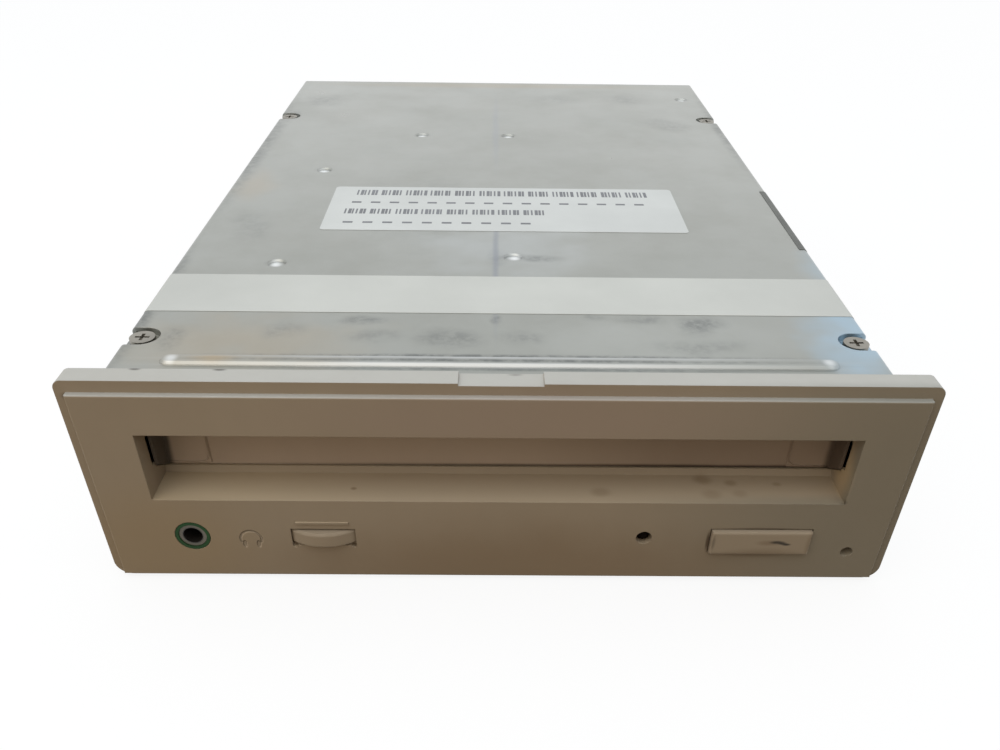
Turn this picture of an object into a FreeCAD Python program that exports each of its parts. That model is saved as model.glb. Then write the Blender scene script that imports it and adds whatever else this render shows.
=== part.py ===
import FreeCAD
import Part
import Sketcher

import math
import os

# A half-height drive that takes discs in a caddy, in its own mounting frame:
# X to the right, Y towards the rear connectors, Z up, all in millimetres.
# The origin is the centre of the four bottom mounting holes, on the underside of the chassis.

SIZES = {
    # Mounting pattern and casing
    "body_width": 146.0,
    "body_length": 204.0,
    "first_hole_back": 47.4,
    "hole_pitch": 79.25,
    "bottom_hole_inset": 3.15,
    "side_hole_low": 10.0,
    "side_hole_rise": 11.8,
    "mount_hole_radius": 1.25,
    "chassis_sheet": 1.0,
    "shoulder_height": 30.0,
    "cover_inset": 4.9,
    "cover_sheet": 0.8,
    "cover_top": 41.4,
    "cover_gap": 0.2,
    "edge_gap": 0.3,
    "cover_bend": 1.0,
    "rear_wall_height": 24.0,
    # Pressed rib and screw seats of the cover
    "rib_back": 4.4,
    "rib_inset": 8.9,
    "rib_width": 3.2,
    "rib_height": 0.6,
    "seat_depth": 1.5,
    "seat_radius": 3.3,
    "seat_inset": 3.0,
    "seat_front_back": 13.4,
    "seat_pitch": 145.8,
    "seat_tab_length": 12.0,
    "seat_tab_reach": 6.5,
    "cover_hole_radius": 1.15,
    "tab_hole_radius": 0.95,
    "cover_screw_radius": 0.9,
    "cover_screw_length": 3.6,
    "cover_head_radius": 2.3,
    "cover_head_height": 1.3,
    "driver_slot_width": 0.6,
    "driver_slot_length": 2.6,
    "driver_slot_depth": 0.6,
    "dimple_radius": 1.7,
    "dimple_depth": 0.45,
    # Front bezel
    "bezel_overhang": 1.5,
    "bezel_height": 43.2,
    "bezel_drop": 0.9,
    "rim_depth": 4.2,
    "panel_rise": 1.2,
    "panel_side_inset": 1.9,
    "panel_top_inset": 2.2,
    "panel_bottom_inset": 1.0,
    "front_wall": 2.4,
    "rim_wall": 2.6,
    "corner_small": 1.6,
    "corner_large": 3.0,
    "notch_width": 14.4,
    "notch_depth": 0.45,
    "mouth_inset": 10.0,
    "mouth_floor": 18.3,
    "mouth_height": 14.0,
    "mouth_wall_depth": 4.1,
    "collar_wall": 2.0,
    "sill_depth": 8.7,
    "sill_step": 1.2,
    "sill_step_run": 0.6,
    "gusset_high": 4.6,
    "gusset_low": 1.3,
    "hook_window_back": 6.0,
    "hook_window_length": 3.6,
    "hook_low": 11.0,
    "hook_height": 8.0,
    "hook_thick": 1.4,
    "hook_gap": 0.4,
    "hook_barb": 1.0,
    # Controls on the bezel
    "jack_inset": 15.6,
    "jack_height": 9.8,
    "jack_hole_radius": 3.3,
    "jack_ring_radius": 3.2,
    "jack_ring_length": 0.9,
    "jack_ring_gap": 0.2,
    "jack_case_ahead": 0.5,
    "jack_barrel_radius": 2.55,
    "jack_bore_radius": 1.8,
    "jack_bore_length": 14.0,
    "jack_body_width": 11.0,
    "jack_body_length": 12.5,
    "wheel_inset": 40.1,
    "wheel_back": 3.7,
    "wheel_radius": 10.5,
    "wheel_low": 8.05,
    "wheel_thick": 3.3,
    "wheel_gap": 0.35,
    "wheel_opening": 12.0,
    "wheel_bore_radius": 2.05,
    "wheel_edge": 0.4,
    "wheel_notch_radius": 0.5,
    "wedge_length": 9.8,
    "wedge_height": 0.5,
    "wedge_rise": 0.25,
    "wedge_above": 1.2,
    "pot_width": 11.0,
    "pot_shaft_radius": 2.0,
    "led_inset": 45.8,
    "led_height": 10.0,
    "led_hole_radius": 1.5,
    "led_radius": 1.4,
    "led_recess": 0.5,
    "led_flange_thick": 0.8,
    "led_leg_pitch": 1.27,
    "led_leg_radius": 0.25,
    "button_inset": 23.85,
    "button_low": 6.7,
    "button_width": 18.8,
    "button_height": 5.4,
    "button_rise": 0.9,
    "button_gap": 0.2,
    "button_depth": 3.6,
    "button_flange": 1.1,
    "button_flange_thick": 1.0,
    "button_travel": 1.2,
    "button_stem_width": 4.0,
    "button_stem_height": 2.4,
    "button_edge": 0.4,
    "plunger_radius": 1.6,
    "plunger_length": 3.2,
    "plunger_gap": 0.15,
    "switch_width": 7.0,
    "switch_depth": 5.0,
    "switch_back": 8.0,
    "pinhole_inset": 6.75,
    "pinhole_height": 6.8,
    "pinhole_radius": 1.15,
    "front_board_back": 1.5,
    "front_board_length": 20.0,
    "front_board_inset": 10.0,
    "front_post_across": 12.0,
    "front_post_back": 12.0,
    "front_board_low": 3.0,
    "board_thick": 1.6,
    # Dust door
    "door_hinge_back": 0.8,
    "door_hinge_height": 31.0,
    "door_hub_radius": 1.6,
    "door_pin_radius": 0.9,
    "door_pin_gap": 0.05,
    "door_pin_reach": 1.9,
    "door_side_gap": 0.3,
    "door_wing": 0.6,
    "door_plate": 1.4,
    "door_bottom_gap": 0.3,
    "door_pad_length": 8.0,
    "door_pad_low": 0.4,
    "door_pad_rise": 0.3,
    "hinge_boss_width": 2.0,
    "hinge_boss_radius": 2.4,
    "spring_wire": 0.25,
    "spring_coil_radius": 1.35,
    "spring_leg": 1.6,
    "spring_turns": 3,
    "spring_pitch": 0.6,
    "spring_end_room": 0.6,
    "spring_room_gap": 0.3,
    "door_rest_gap": 0.1,
    # Caddy and holder
    "caddy_inset": 1.0,
    "caddy_length": 135.0,
    "caddy_thick": 8.0,
    "caddy_side_gap": 0.6,
    "caddy_under_gap": 0.5,
    "caddy_over_gap": 0.3,
    "holder_back": 16.0,
    "holder_sheet": 0.8,
    "holder_floor": 19.0,
    "holder_rail": 12.0,
    "holder_window_radius": 15.5,
    "stop_half": 18.0,
    "stop_drop": 4.0,
    "ear_thick": 1.0,
    "lift_travel": 5.0,
    "lift_pin_radius": 1.2,
    "lift_slot_gap": 0.1,
    "lift_pin_height": 5.2,
    "front_pin_back": 42.0,
    "rear_pin_ahead": 22.0,
    # Loader frame and cam slides
    "frame_clearance": 2.3,
    "frame_sheet": 1.0,
    "frame_back": 18.0,
    "frame_behind": 2.5,
    "frame_top": 31.4,
    "frame_bridge": 9.0,
    "frame_foot_reach": 2.6,
    "frame_foot_length": 8.0,
    "frame_rear_reach": 6.0,
    "slide_gap": 0.3,
    "slide_sheet": 1.2,
    "slide_low": 15.5,
    "slide_high": 27.4,
    "slide_front_back": 23.0,
    "slide_rear_low": 17.0,
    "slide_rear_height": 5.0,
    "slide_ratio": 2.0,
    "slide_margin": 4.0,
    "stud_front_back": 67.0,
    "stud_pitch": 35.0,
    "stud_height": 22.0,
    "stud_radius": 1.2,
    "stud_head_radius": 2.3,
    "stud_head_thick": 0.7,
    "eject_tab_height": 5.0,
    "eject_tab_length": 12.0,
    # Sync lever
    "lever_ahead": 16.0,
    "lever_low": 12.8,
    "lever_thick": 1.2,
    "lever_half_width": 2.4,
    "lever_hub_radius": 5.0,
    "lever_pin_radius": 1.5,
    "lever_fit": 0.05,
    "peg_radius": 1.2,
    "peg_gap": 0.1,
    # Gear train
    "tooth_module": 0.6,
    "rack_module": 0.8,
    "addendum": 0.85,
    "dedendum": 1.2,
    "tooth_root_share": 0.55,
    "tooth_tip_share": 0.22,
    "overlap": 0.2,
    "rack_pinion_teeth": 12,
    "main_gear_teeth": 32,
    "pulley_pinion_teeth": 10,
    "gear_ahead": 23.0,
    "rack_inset": 1.1,
    "rack_low": 17.6,
    "rack_thick": 3.0,
    "rack_teeth": 6,
    "main_gear_low": 14.6,
    "gear_thick": 1.8,
    "gear_fit": 0.05,
    "gear_shaft_radius": 1.0,
    "mesh_gap": 0.06,
    "pulley_radius": 9.5,
    "motor_pulley_radius": 2.2,
    "pulley_low": 10.4,
    "pulley_thick": 3.0,
    "belt_width": 1.2,
    "belt_depth": 0.9,
    "belt_gap": 0.1,
    "groove_depth": 0.8,
    "belt_reach": 33.14,
    "motor_radius": 10.0,
    "motor_shaft_radius": 0.8,
    "motor_length": 8.0,
    "gear_plate_low": 22.4,
    "gear_plate_thick": 1.2,
    "gear_plate_left": 16.0,
    "gear_plate_right": 4.2,
    "gear_plate_depth": 24.0,
    "gear_plate_ahead": 10.0,
    "clip_thick": 0.5,
    "plate_post_radius": 1.7,
    "left_posts_across": 12.5,
    "left_post_ahead": 6.0,
    "left_post_behind": 10.0,
    "middle_post_across": 16.0,
    "middle_post_ahead": 9.2,
    "right_post_across": 3.8,
    "right_post_behind": 12.0,
    # Clamp
    "clamp_pivot_ahead": 2.5,
    "clamp_pivot_rise": 2.0,
    "clamp_pin_radius": 1.0,
    "clamp_swing": 5.3,
    "clamp_arm_width": 44.0,
    "clamp_arm_nose": 24.0,
    "clamp_sheet": 1.2,
    "clamp_gap": 0.3,
    "puck_radius": 13.0,
    "puck_flange": 2.0,
    "puck_neck_radius": 5.0,
    "puck_cap_radius": 7.5,
    "puck_cap_thick": 1.5,
    "puck_hole_gap": 0.6,
    "clamp_spring_width": 8.0,
    "clamp_spring_sheet": 0.3,
    # Disc and optical deck
    "spindle_back": 83.5,
    "disc_seat": 18.2,
    "disc_thick": 1.2,
    "turntable_radius": 15.0,
    "turntable_rim": 1.6,
    "disc_hole_radius": 7.4,
    "cone_height": 0.9,
    "cone_top_radius": 5.6,
    "spindle_radius": 1.0,
    "spindle_fit": 0.05,
    "spindle_motor_radius": 11.0,
    "spindle_motor_height": 5.0,
    "turntable_hub_radius": 4.0,
    "turntable_hub_gap": 0.4,
    "turntable_skin": 1.2,
    "deck_low": 6.8,
    "deck_thick": 1.8,
    "deck_inset": 21.0,
    "deck_front_back": 53.0,
    "deck_length": 107.4,
    "deck_post_side": 6.0,
    "deck_post_inset": 4.4,
    "post_foot_radius": 2.8,
    "post_radius": 2.2,
    "post_neck_radius": 1.6,
    "board_hole_gap": 0.2,
    "grommet_radius": 5.0,
    "grommet_waist": 3.5,
    "grommet_lip": 0.8,
    "grommet_gap": 0.1,
    "deck_screw_radius": 0.9,
    "deck_head_radius": 3.2,
    "deck_head_height": 1.4,
    "deck_screw_length": 3.0,
    "deck_opening_gap": 2.0,
    "rod_across": 17.0,
    "rod_height": 11.4,
    "rod_radius": 1.5,
    "rod_fit": 0.05,
    "rod_block_length": 2.4,
    "rod_block_half": 2.6,
    "rod_block_ahead": 6.4,
    "sled_half": 20.0,
    "sled_low": 9.2,
    "sled_high": 14.3,
    "sled_belly_half": 12.0,
    "sled_belly_low": 7.2,
    "sled_ahead": 10.0,
    "sled_behind": 14.0,
    "lens_inner": 24.0,
    "lens_pocket_half": 9.0,
    "lens_pocket_depth": 3.9,
    "lens_holder_half": 6.0,
    "lens_holder_low": 11.8,
    "lens_holder_high": 15.2,
    "lens_travel": 0.8,
    "focus_shaft_back": 4.4,
    "focus_shaft_radius": 0.7,
    "lens_radius": 3.0,
    "lens_rise": 0.7,
    "sled_rack_thick": 1.6,
    "sled_rack_line": 22.6,
    "sled_rack_teeth": 22,
    "sled_gear_teeth": 24,
    "sled_pinion_teeth": 10,
    "sled_gear_back": 117.0,
    "sled_gear_low": 12.4,
    "sled_motor_radius": 8.0,
    "sled_motor_height": 3.5,
    # Electronics
    "board_low": 2.8,
    "board_inset": 12.5,
    "board_front_back": 24.0,
    "board_rear_gap": 5.0,
    "chip_height": 1.8,
    "capacitor_radius": 4.0,
    "capacitor_height": 8.0,
    "board_screw_radius": 1.2,
    "board_post_side": 8.5,
    "board_post_front": 6.0,
    "board_post_rear": 8.0,
    "inner_post_across": 8.0,
    "inner_post_rear": 12.0,
    "board_head_radius": 2.3,
    "standoff_radius": 2.5,
    "connector_inset": 0.2,
    "header_margin": 1.0,
    "header_gap": 3.3,
    "header_height": 9.0,
    "header_depth": 9.2,
    "header_wall": 1.3,
    "header_cavity": 6.5,
    "header_key": 4.5,
    "header_columns": 25,
    "header_rows": 2,
    "pin_pitch_small": 2.54,
    "pin_width": 0.64,
    "pin_inset": 1.0,
    "audio_inset": 45.5,
    "audio_pins": 4,
    "audio_wall": 1.0,
    "audio_width": 11.0,
    "audio_height": 6.5,
    "audio_depth": 7.5,
    "power_inset": 31.5,
    "power_pins": 4,
    "power_width": 22.1,
    "power_height": 11.3,
    "power_depth": 12.6,
    "power_pitch": 5.08,
    "power_pin_radius": 1.0,
    "power_corner": 2.0,
    "jumper_inset": 7.9,
    "jumper_pairs": 3,
    "jumper_pin_length": 5.5,
    "cutout_gap": 0.5,
}

# Pressed dimples of the cover: shares of its half width and of its length
DIMPLES = [(-0.68, 0.527), (-0.692, 0.228), (0.041, 0.249), (-0.333, 0.688), (0.04, 0.688), (0.896, 0.902)]

# Chips and capacitors: shares of the board's half width and of its length, then the chips' own size
CHIPS = [
    (-0.727, 0.223, 24.0, 24.0),
    (0.132, 0.234, 20.0, 12.0),
    (-0.661, 0.44, 28.0, 28.0),
    (0.397, 0.6, 16.0, 9.0),
    (-0.231, 0.669, 9.0, 16.0),
    (0.595, 0.84, 12.0, 7.0),
    (-0.397, 0.84, 12.0, 12.0),
]
CAPACITORS = [(-0.893, 0.863), (-0.727, 0.863), (-0.562, 0.874)]


class Formula:
    """A size as the spreadsheet knows it, with its present value for first guesses."""

    def __init__(self, text, value):
        self.text = text
        self.value = value

    def join(self, sign, other, value):
        return Formula(f"({self.text} {sign} {other.text})", value)

    def __add__(self, other):
        other = formula(other)
        return self.join("+", other, self.value + other.value)

    def __sub__(self, other):
        other = formula(other)
        return self.join("-", other, self.value - other.value)

    def __mul__(self, other):
        other = formula(other)
        return self.join("*", other, self.value * other.value)

    def __truediv__(self, other):
        other = formula(other)
        return self.join("/", other, self.value / other.value)

    def __radd__(self, other):
        return formula(other) + self

    def __rsub__(self, other):
        return formula(other) - self

    def __rmul__(self, other):
        return formula(other) * self

    def __rtruediv__(self, other):
        return formula(other) / self

    def __neg__(self):
        return formula(0.0) - self


def formula(number):
    return number if isinstance(number, Formula) else Formula(repr(float(number)), float(number))


def root(square):
    return Formula(f"sqrt({square.text})", math.sqrt(square.value))


def arctangent(slope):
    return Formula(f"atan({slope.text})", math.degrees(math.atan(slope.value)))


class SizeTable:
    """Gives each spreadsheet cell by its alias."""

    def __getattr__(self, alias):
        return Formula(f"Sizes.{alias}", float(SIZES[alias]))


doc = FreeCAD.newDocument("CaddyDrive")
sheet = doc.addObject("Spreadsheet::Sheet", "Sizes")
for row, (alias, number) in enumerate(SIZES.items(), start=1):
    sheet.set(f"A{row}", alias.replace("_", " "))
    sheet.set(f"B{row}", str(number))
    sheet.setAlias(f"B{row}", alias)
doc.recompute()
size = SizeTable()
nodes = []

ALONG_Y = FreeCAD.Rotation(FreeCAD.Vector(1, 0, 0), -90)
ALONG_X = FreeCAD.Rotation(FreeCAD.Vector(0, 1, 0), 90)
SOLID_AXES = {"x": ALONG_X, "y": ALONG_Y, "z": FreeCAD.Rotation()}


# Helpers for primitives and booleans

def bind(item, **formulas):
    for name, value in formulas.items():
        item.setExpression(name, formula(value).text)


def place(item, x=0.0, y=0.0, z=0.0):
    for axis, value in (("x", x), ("y", y), ("z", z)):
        item.setExpression(f"Placement.Base.{axis}", formula(value).text)
    return item


def block(x, y, z):
    item = doc.addObject("Part::Box", "Block")
    bind(item, Length=x[1] - x[0], Width=y[1] - y[0], Height=z[1] - z[0])
    return place(item, x[0], y[0], z[0])


def rod(axis, centre, start, length, radius):
    """A cylinder along one axis; centre gives its place on the other two, in X, Y, Z order."""
    item = doc.addObject("Part::Cylinder", "Rod")
    item.Placement.Rotation = SOLID_AXES[axis]
    bind(item, Radius=radius, Height=length)
    across = list(centre)
    across.insert("xyz".index(axis), start)
    return place(item, *across)


def merge(items):
    item = doc.addObject("Part::MultiFuse", "Merged")
    item.Shapes = items
    item.Refine = True
    return item


def cut(base, tools):
    item = doc.addObject("Part::Cut", "Cut")
    item.Base = base
    item.Tool = tools[0] if len(tools) == 1 else merge(tools)
    item.Refine = True
    return item


def keep(item, label):
    item.Label = label
    nodes.append(item)
    return item


# Helpers for bodies with sketches

def new_body(label):
    return keep(doc.addObject("PartDesign::Body", label), label)


def origin_part(body, role):
    for feature in body.Origin.OriginFeatures:
        if feature.Role == role:
            return feature
    raise ValueError(role)


def fix_point(sketch, geometry, corner, u, v):
    for kind, value in (("DistanceX", formula(u)), ("DistanceY", formula(v))):
        index = sketch.addConstraint(Sketcher.Constraint(kind, -1, 1, geometry, corner, value.value))
        sketch.setExpression(f"Constraints[{index}]", value.text)


def vector(point):
    return FreeCAD.Vector(formula(point[0]).value, formula(point[1]).value, 0)


def outline(*points):
    """A closed straight-sided outline through fully fixed corners."""
    def draw(sketch):
        following = points[1:] + points[:1]
        lines = [sketch.addGeometry(Part.LineSegment(vector(a), vector(b)), False)
                 for a, b in zip(points, following)]
        for line, next_line in zip(lines, lines[1:] + lines[:1]):
            sketch.addConstraint(Sketcher.Constraint("Coincident", line, 2, next_line, 1))
        for line, point in zip(lines, points):
            fix_point(sketch, line, 1, *point)
    return draw


def rectangle(u, v):
    return outline((u[0], v[0]), (u[1], v[0]), (u[1], v[1]), (u[0], v[1]))


def circle(u, v, radius):
    def draw(sketch):
        radius_now = formula(radius)
        ring = sketch.addGeometry(Part.Circle(vector((u, v)), FreeCAD.Vector(0, 0, 1), radius_now.value), False)
        fix_point(sketch, ring, 3, u, v)
        index = sketch.addConstraint(Sketcher.Constraint("Radius", ring, radius_now.value))
        sketch.setExpression(f"Constraints[{index}]", radius_now.text)
    return draw


def slot(first, second, radius):
    """A round-ended slot from one centre to the other."""
    def draw(sketch):
        a = vector(first)
        b = vector(second)
        radius_now = formula(radius)
        heading = math.atan2(b.y - a.y, b.x - a.x)
        side = FreeCAD.Vector(-math.sin(heading), math.cos(heading), 0) * radius_now.value
        up = FreeCAD.Vector(0, 0, 1)
        quarter = math.pi / 2
        start_arc = Part.ArcOfCircle(Part.Circle(a, up, radius_now.value),
                                     heading + quarter, heading + 3 * quarter)
        end_arc = Part.ArcOfCircle(Part.Circle(b, up, radius_now.value), heading - quarter, heading + quarter)
        arc_a = sketch.addGeometry(start_arc, False)
        line_low = sketch.addGeometry(Part.LineSegment(a - side, b - side), False)
        arc_b = sketch.addGeometry(end_arc, False)
        line_high = sketch.addGeometry(Part.LineSegment(b + side, a + side), False)
        for one, end, other, start in ((arc_a, 2, line_low, 1), (line_low, 2, arc_b, 1),
                                       (arc_b, 2, line_high, 1), (line_high, 2, arc_a, 1)):
            sketch.addConstraint(Sketcher.Constraint("Tangent", one, end, other, start))
        fix_point(sketch, arc_a, 3, *first)
        fix_point(sketch, arc_b, 3, *second)
        index = sketch.addConstraint(Sketcher.Constraint("Radius", arc_a, radius_now.value))
        sketch.setExpression(f"Constraints[{index}]", radius_now.text)
    return draw


def new_sketch(body, plane, start, drawings):
    sketch = body.newObject("Sketcher::SketchObject", f"{body.Name}_sketch")
    sketch.AttachmentSupport = (origin_part(body, f"{plane}_Plane"), [""])
    sketch.MapMode = "FlatFace"
    offset = -formula(start) if plane == "XZ" else formula(start)
    sketch.setExpression("AttachmentOffset.Base.z", offset.text)
    for draw in drawings:
        draw(sketch)
    return sketch


def pad(body, plane, start, depth, *drawings):
    """Adds material from start to start + depth along the third axis."""
    feature = body.newObject("PartDesign::Pad", f"{body.Name}_pad")
    feature.Profile = new_sketch(body, plane, start, drawings)
    feature.setExpression("Length", formula(depth).text)
    feature.Reversed = plane == "XZ"
    return feature


def pocket(body, plane, start, depth, *drawings):
    """Takes material away from start to start + depth along the third axis."""
    doc.recompute()
    before = body.Shape.Volume
    feature = body.newObject("PartDesign::Pocket", f"{body.Name}_pocket")
    feature.Profile = new_sketch(body, plane, start, drawings)
    feature.setExpression("Length", formula(depth).text)
    feature.Reversed = plane != "XZ"
    doc.recompute()
    if body.Shape.Volume > before - 1e-6:
        raise RuntimeError(f"{feature.Name} cuts nothing")
    return feature


def revolve(body, *drawings):
    """Turns an outline of radius and height about the body's own Z axis."""
    feature = body.newObject("PartDesign::Revolution", f"{body.Name}_turned")
    feature.Profile = new_sketch(body, "XZ", 0.0, drawings)
    feature.ReferenceAxis = (origin_part(body, "Z_Axis"), [""])
    feature.Angle = 360
    return feature


def polar(body, feature, count):
    pattern = body.newObject("PartDesign::PolarPattern", f"{body.Name}_around")
    pattern.Originals = [feature]
    pattern.Axis = (origin_part(body, "Z_Axis"), [""])
    pattern.Angle = 360
    pattern.setExpression("Occurrences", formula(count).text)
    body.Tip = pattern
    return pattern


def mirrored(body, features, plane="YZ"):
    pattern = body.newObject("PartDesign::Mirrored", f"{body.Name}_mirrored")
    pattern.Originals = features
    pattern.MirrorPlane = (origin_part(body, f"{plane}_Plane"), [""])
    body.Tip = pattern
    return pattern


def round_edges(body, radius, chosen, kind="Fillet"):
    """Rounds or bevels every edge of the body for which chosen(edge) is true."""
    doc.recompute()
    base = body.Tip
    names = [f"Edge{number}" for number, edge in enumerate(base.Shape.Edges, start=1) if chosen(edge)]
    if not names:
        raise RuntimeError(f"{body.Label} has no edge to round")
    feature = body.newObject(f"PartDesign::{kind}", f"{body.Name}_edges")
    feature.Base = (base, names)
    feature.setExpression("Radius" if kind == "Fillet" else "Size", formula(radius).text)
    return feature


def near(number, target):
    return abs(number - formula(target).value) < 1e-4


def runs_along(edge, axis):
    first, last = edge.firstVertex().Point, edge.lastVertex().Point
    step = last - first
    others = [abs(getattr(step, name)) for name in "xyz" if name != axis]
    return len(edge.Vertexes) == 2 and abs(getattr(step, axis)) > 1e-3 and max(others) < 1e-4


# Places that several pieces share

front = -size.first_hole_back - size.hole_pitch / 2
rear = front + size.body_length
body_half = size.body_width / 2
cover_half = body_half - size.cover_inset
bezel_half = body_half + size.bezel_overhang
panel_front = front - size.rim_depth - size.panel_rise
mouth_half = body_half - size.mouth_inset
mouth_top = size.mouth_floor + size.mouth_height
spindle_y = front + size.spindle_back
floor_top = size.holder_floor + size.holder_sheet
roof_low = floor_top + size.caddy_thick + size.caddy_under_gap + size.caddy_over_gap
roof_top = roof_low + size.holder_sheet
holder_half = mouth_half - size.caddy_inset + size.caddy_side_gap + size.holder_sheet
frame_half = holder_half + size.frame_clearance
holder_front = front + size.holder_back
holder_rear = holder_front + size.caddy_length
lift_pin_z = size.holder_floor + size.lift_pin_height
lift_pins_y = (front + size.front_pin_back, holder_rear - size.rear_pin_ahead)
slide_inner = frame_half + size.slide_gap
slide_outer = slide_inner + size.slide_sheet
slide_travel = size.lift_travel * size.slide_ratio
slide_middle = slide_inner + size.slide_sheet / 2
gear_y = rear - size.gear_ahead
lever_y = gear_y - size.lever_ahead
board_top = size.board_low + size.board_thick
front_board_top = size.front_board_low + size.board_thick
board_half = body_half - size.board_inset
board_front = front + size.board_front_back
board_rear = rear - size.board_rear_gap
board_length = board_rear - board_front
deck_half = body_half - size.deck_inset
deck_top = size.deck_low + size.deck_thick
deck_front = front + size.deck_front_back
deck_rear = deck_front + size.deck_length
deck_posts_y = (deck_front + size.deck_post_inset, deck_rear - size.deck_post_inset)
deck_posts = [(side * (deck_half - size.deck_post_side), y) for side in (-1, 1) for y in deck_posts_y]
rack_pinion_radius = size.rack_module * size.rack_pinion_teeth / 2
main_gear_radius = size.tooth_module * size.main_gear_teeth / 2
pulley_pinion_radius = size.tooth_module * size.pulley_pinion_teeth / 2
rack_line = frame_half - size.rack_inset
main_gear_x = rack_line - rack_pinion_radius
pulley_x = main_gear_x - main_gear_radius - pulley_pinion_radius - size.mesh_gap
motor_x = pulley_x - size.belt_reach
seats_y = (front + size.seat_front_back, front + size.seat_front_back + size.seat_pitch)
seat_x = cover_half - size.seat_inset
seat_floor = size.cover_top - size.seat_depth
tab_top = seat_floor - size.cover_sheet
web_outer = cover_half - size.cover_sheet - size.cover_gap
web_inner = web_outer - size.chassis_sheet
side_holes = [(y, z) for y in (-size.hole_pitch / 2, size.hole_pitch / 2)
              for z in (size.side_hole_low, size.side_hole_low + size.side_hole_rise)]
bottom_hole_x = body_half - size.bottom_hole_inset
bottom_holes = [(x, y) for x in (-bottom_hole_x, bottom_hole_x)
                for y in (-size.hole_pitch / 2, size.hole_pitch / 2)]
header_left = size.header_margin - board_half
audio_left = board_half - size.audio_inset
power_left = board_half - size.power_inset
jumper_left = board_half - size.jumper_inset
header_length = audio_left - size.header_gap - header_left
cutouts = [
    (header_left, header_length, size.header_height),
    (audio_left, size.audio_width, size.audio_height),
    (power_left, size.power_width, size.power_height),
    (jumper_left, size.jumper_pairs * size.pin_pitch_small, size.header_rows * size.pin_pitch_small),
]
sled_y = spindle_y + size.lens_inner
focus_shaft_y = sled_y + size.focus_shaft_back
sled_front = sled_y - size.sled_ahead
sled_rear = sled_y + size.sled_behind
sled_gear_y = front + size.sled_gear_back
sled_gear_radius = size.tooth_module * size.sled_gear_teeth / 2
sled_pinion_radius = size.tooth_module * size.sled_pinion_teeth / 2
sled_gear_x = size.sled_rack_line + sled_gear_radius + size.mesh_gap
sled_pinion_x = sled_gear_x + sled_gear_radius + sled_pinion_radius + size.mesh_gap
sled_gear_thick = size.sled_rack_thick
clamp_pivot_y = holder_rear - size.clamp_pivot_ahead
clamp_pivot_z = roof_top + size.clamp_pivot_rise
clamp_reach = clamp_pivot_y - spindle_y
clamp_slope = size.clamp_swing / clamp_reach
clamp_cosine = 1 / root(1 + clamp_slope * clamp_slope)
clamp_sine = clamp_slope * clamp_cosine
clamp_sheet_low = size.clamp_gap - size.clamp_pivot_rise
clamp_sheet_high = clamp_sheet_low + size.clamp_sheet
puck_low = size.disc_seat + size.disc_thick + size.lift_travel - clamp_pivot_z
puck_cap_high = clamp_sheet_high + size.clamp_gap + size.puck_cap_thick
plate_posts = [
    (motor_x - size.left_posts_across, gear_y - size.left_post_ahead),
    (motor_x - size.left_posts_across, gear_y + size.left_post_behind),
    (motor_x + size.middle_post_across, gear_y - size.middle_post_ahead),
    (main_gear_x - size.right_post_across, gear_y + size.right_post_behind),
]
board_post_x = board_half - size.board_post_side
board_posts = [
    (-board_post_x, board_rear - size.board_post_rear),
    (-size.inner_post_across, board_rear - size.inner_post_rear),
    (-board_post_x, board_front + size.board_post_front),
    (board_post_x, board_front + size.board_post_front),
]
front_posts = [(side * size.front_post_across, front + size.front_post_back) for side in (-1, 1)]
door_y = front + size.door_hinge_back
spring_room = size.spring_pitch * size.spring_turns + size.spring_end_room
spring_start = mouth_half - size.door_side_gap - size.door_wing - size.door_pad_length
wheel_y = front + size.wheel_back
jack_x = size.jack_inset - body_half
wheel_x = size.wheel_inset - body_half
led_x = body_half - size.led_inset
button_x = body_half - size.button_inset
pinhole_x = body_half - size.pinhole_inset
button_left = button_x - size.button_width / 2
button_right = button_x + size.button_width / 2
button_high = size.button_low + size.button_height
button_middle = size.button_low + size.button_height / 2
switch_front = front + size.switch_back
plunger_front = switch_front - size.button_travel - size.slide_gap
jack_y = front - size.jack_case_ahead
studs_y = (front + size.stud_front_back, front + size.stud_front_back + size.stud_pitch)
peg_low = size.lever_low - size.slide_gap
connector_rear = rear - size.connector_inset
rack_pitch = size.rack_module * math.pi
rack_rear = gear_y + rack_pitch * (size.rack_teeth - 1)


# Casing

def both_sides(points):
    return points + [(-x, z) for x, z in reversed(points)]


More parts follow.
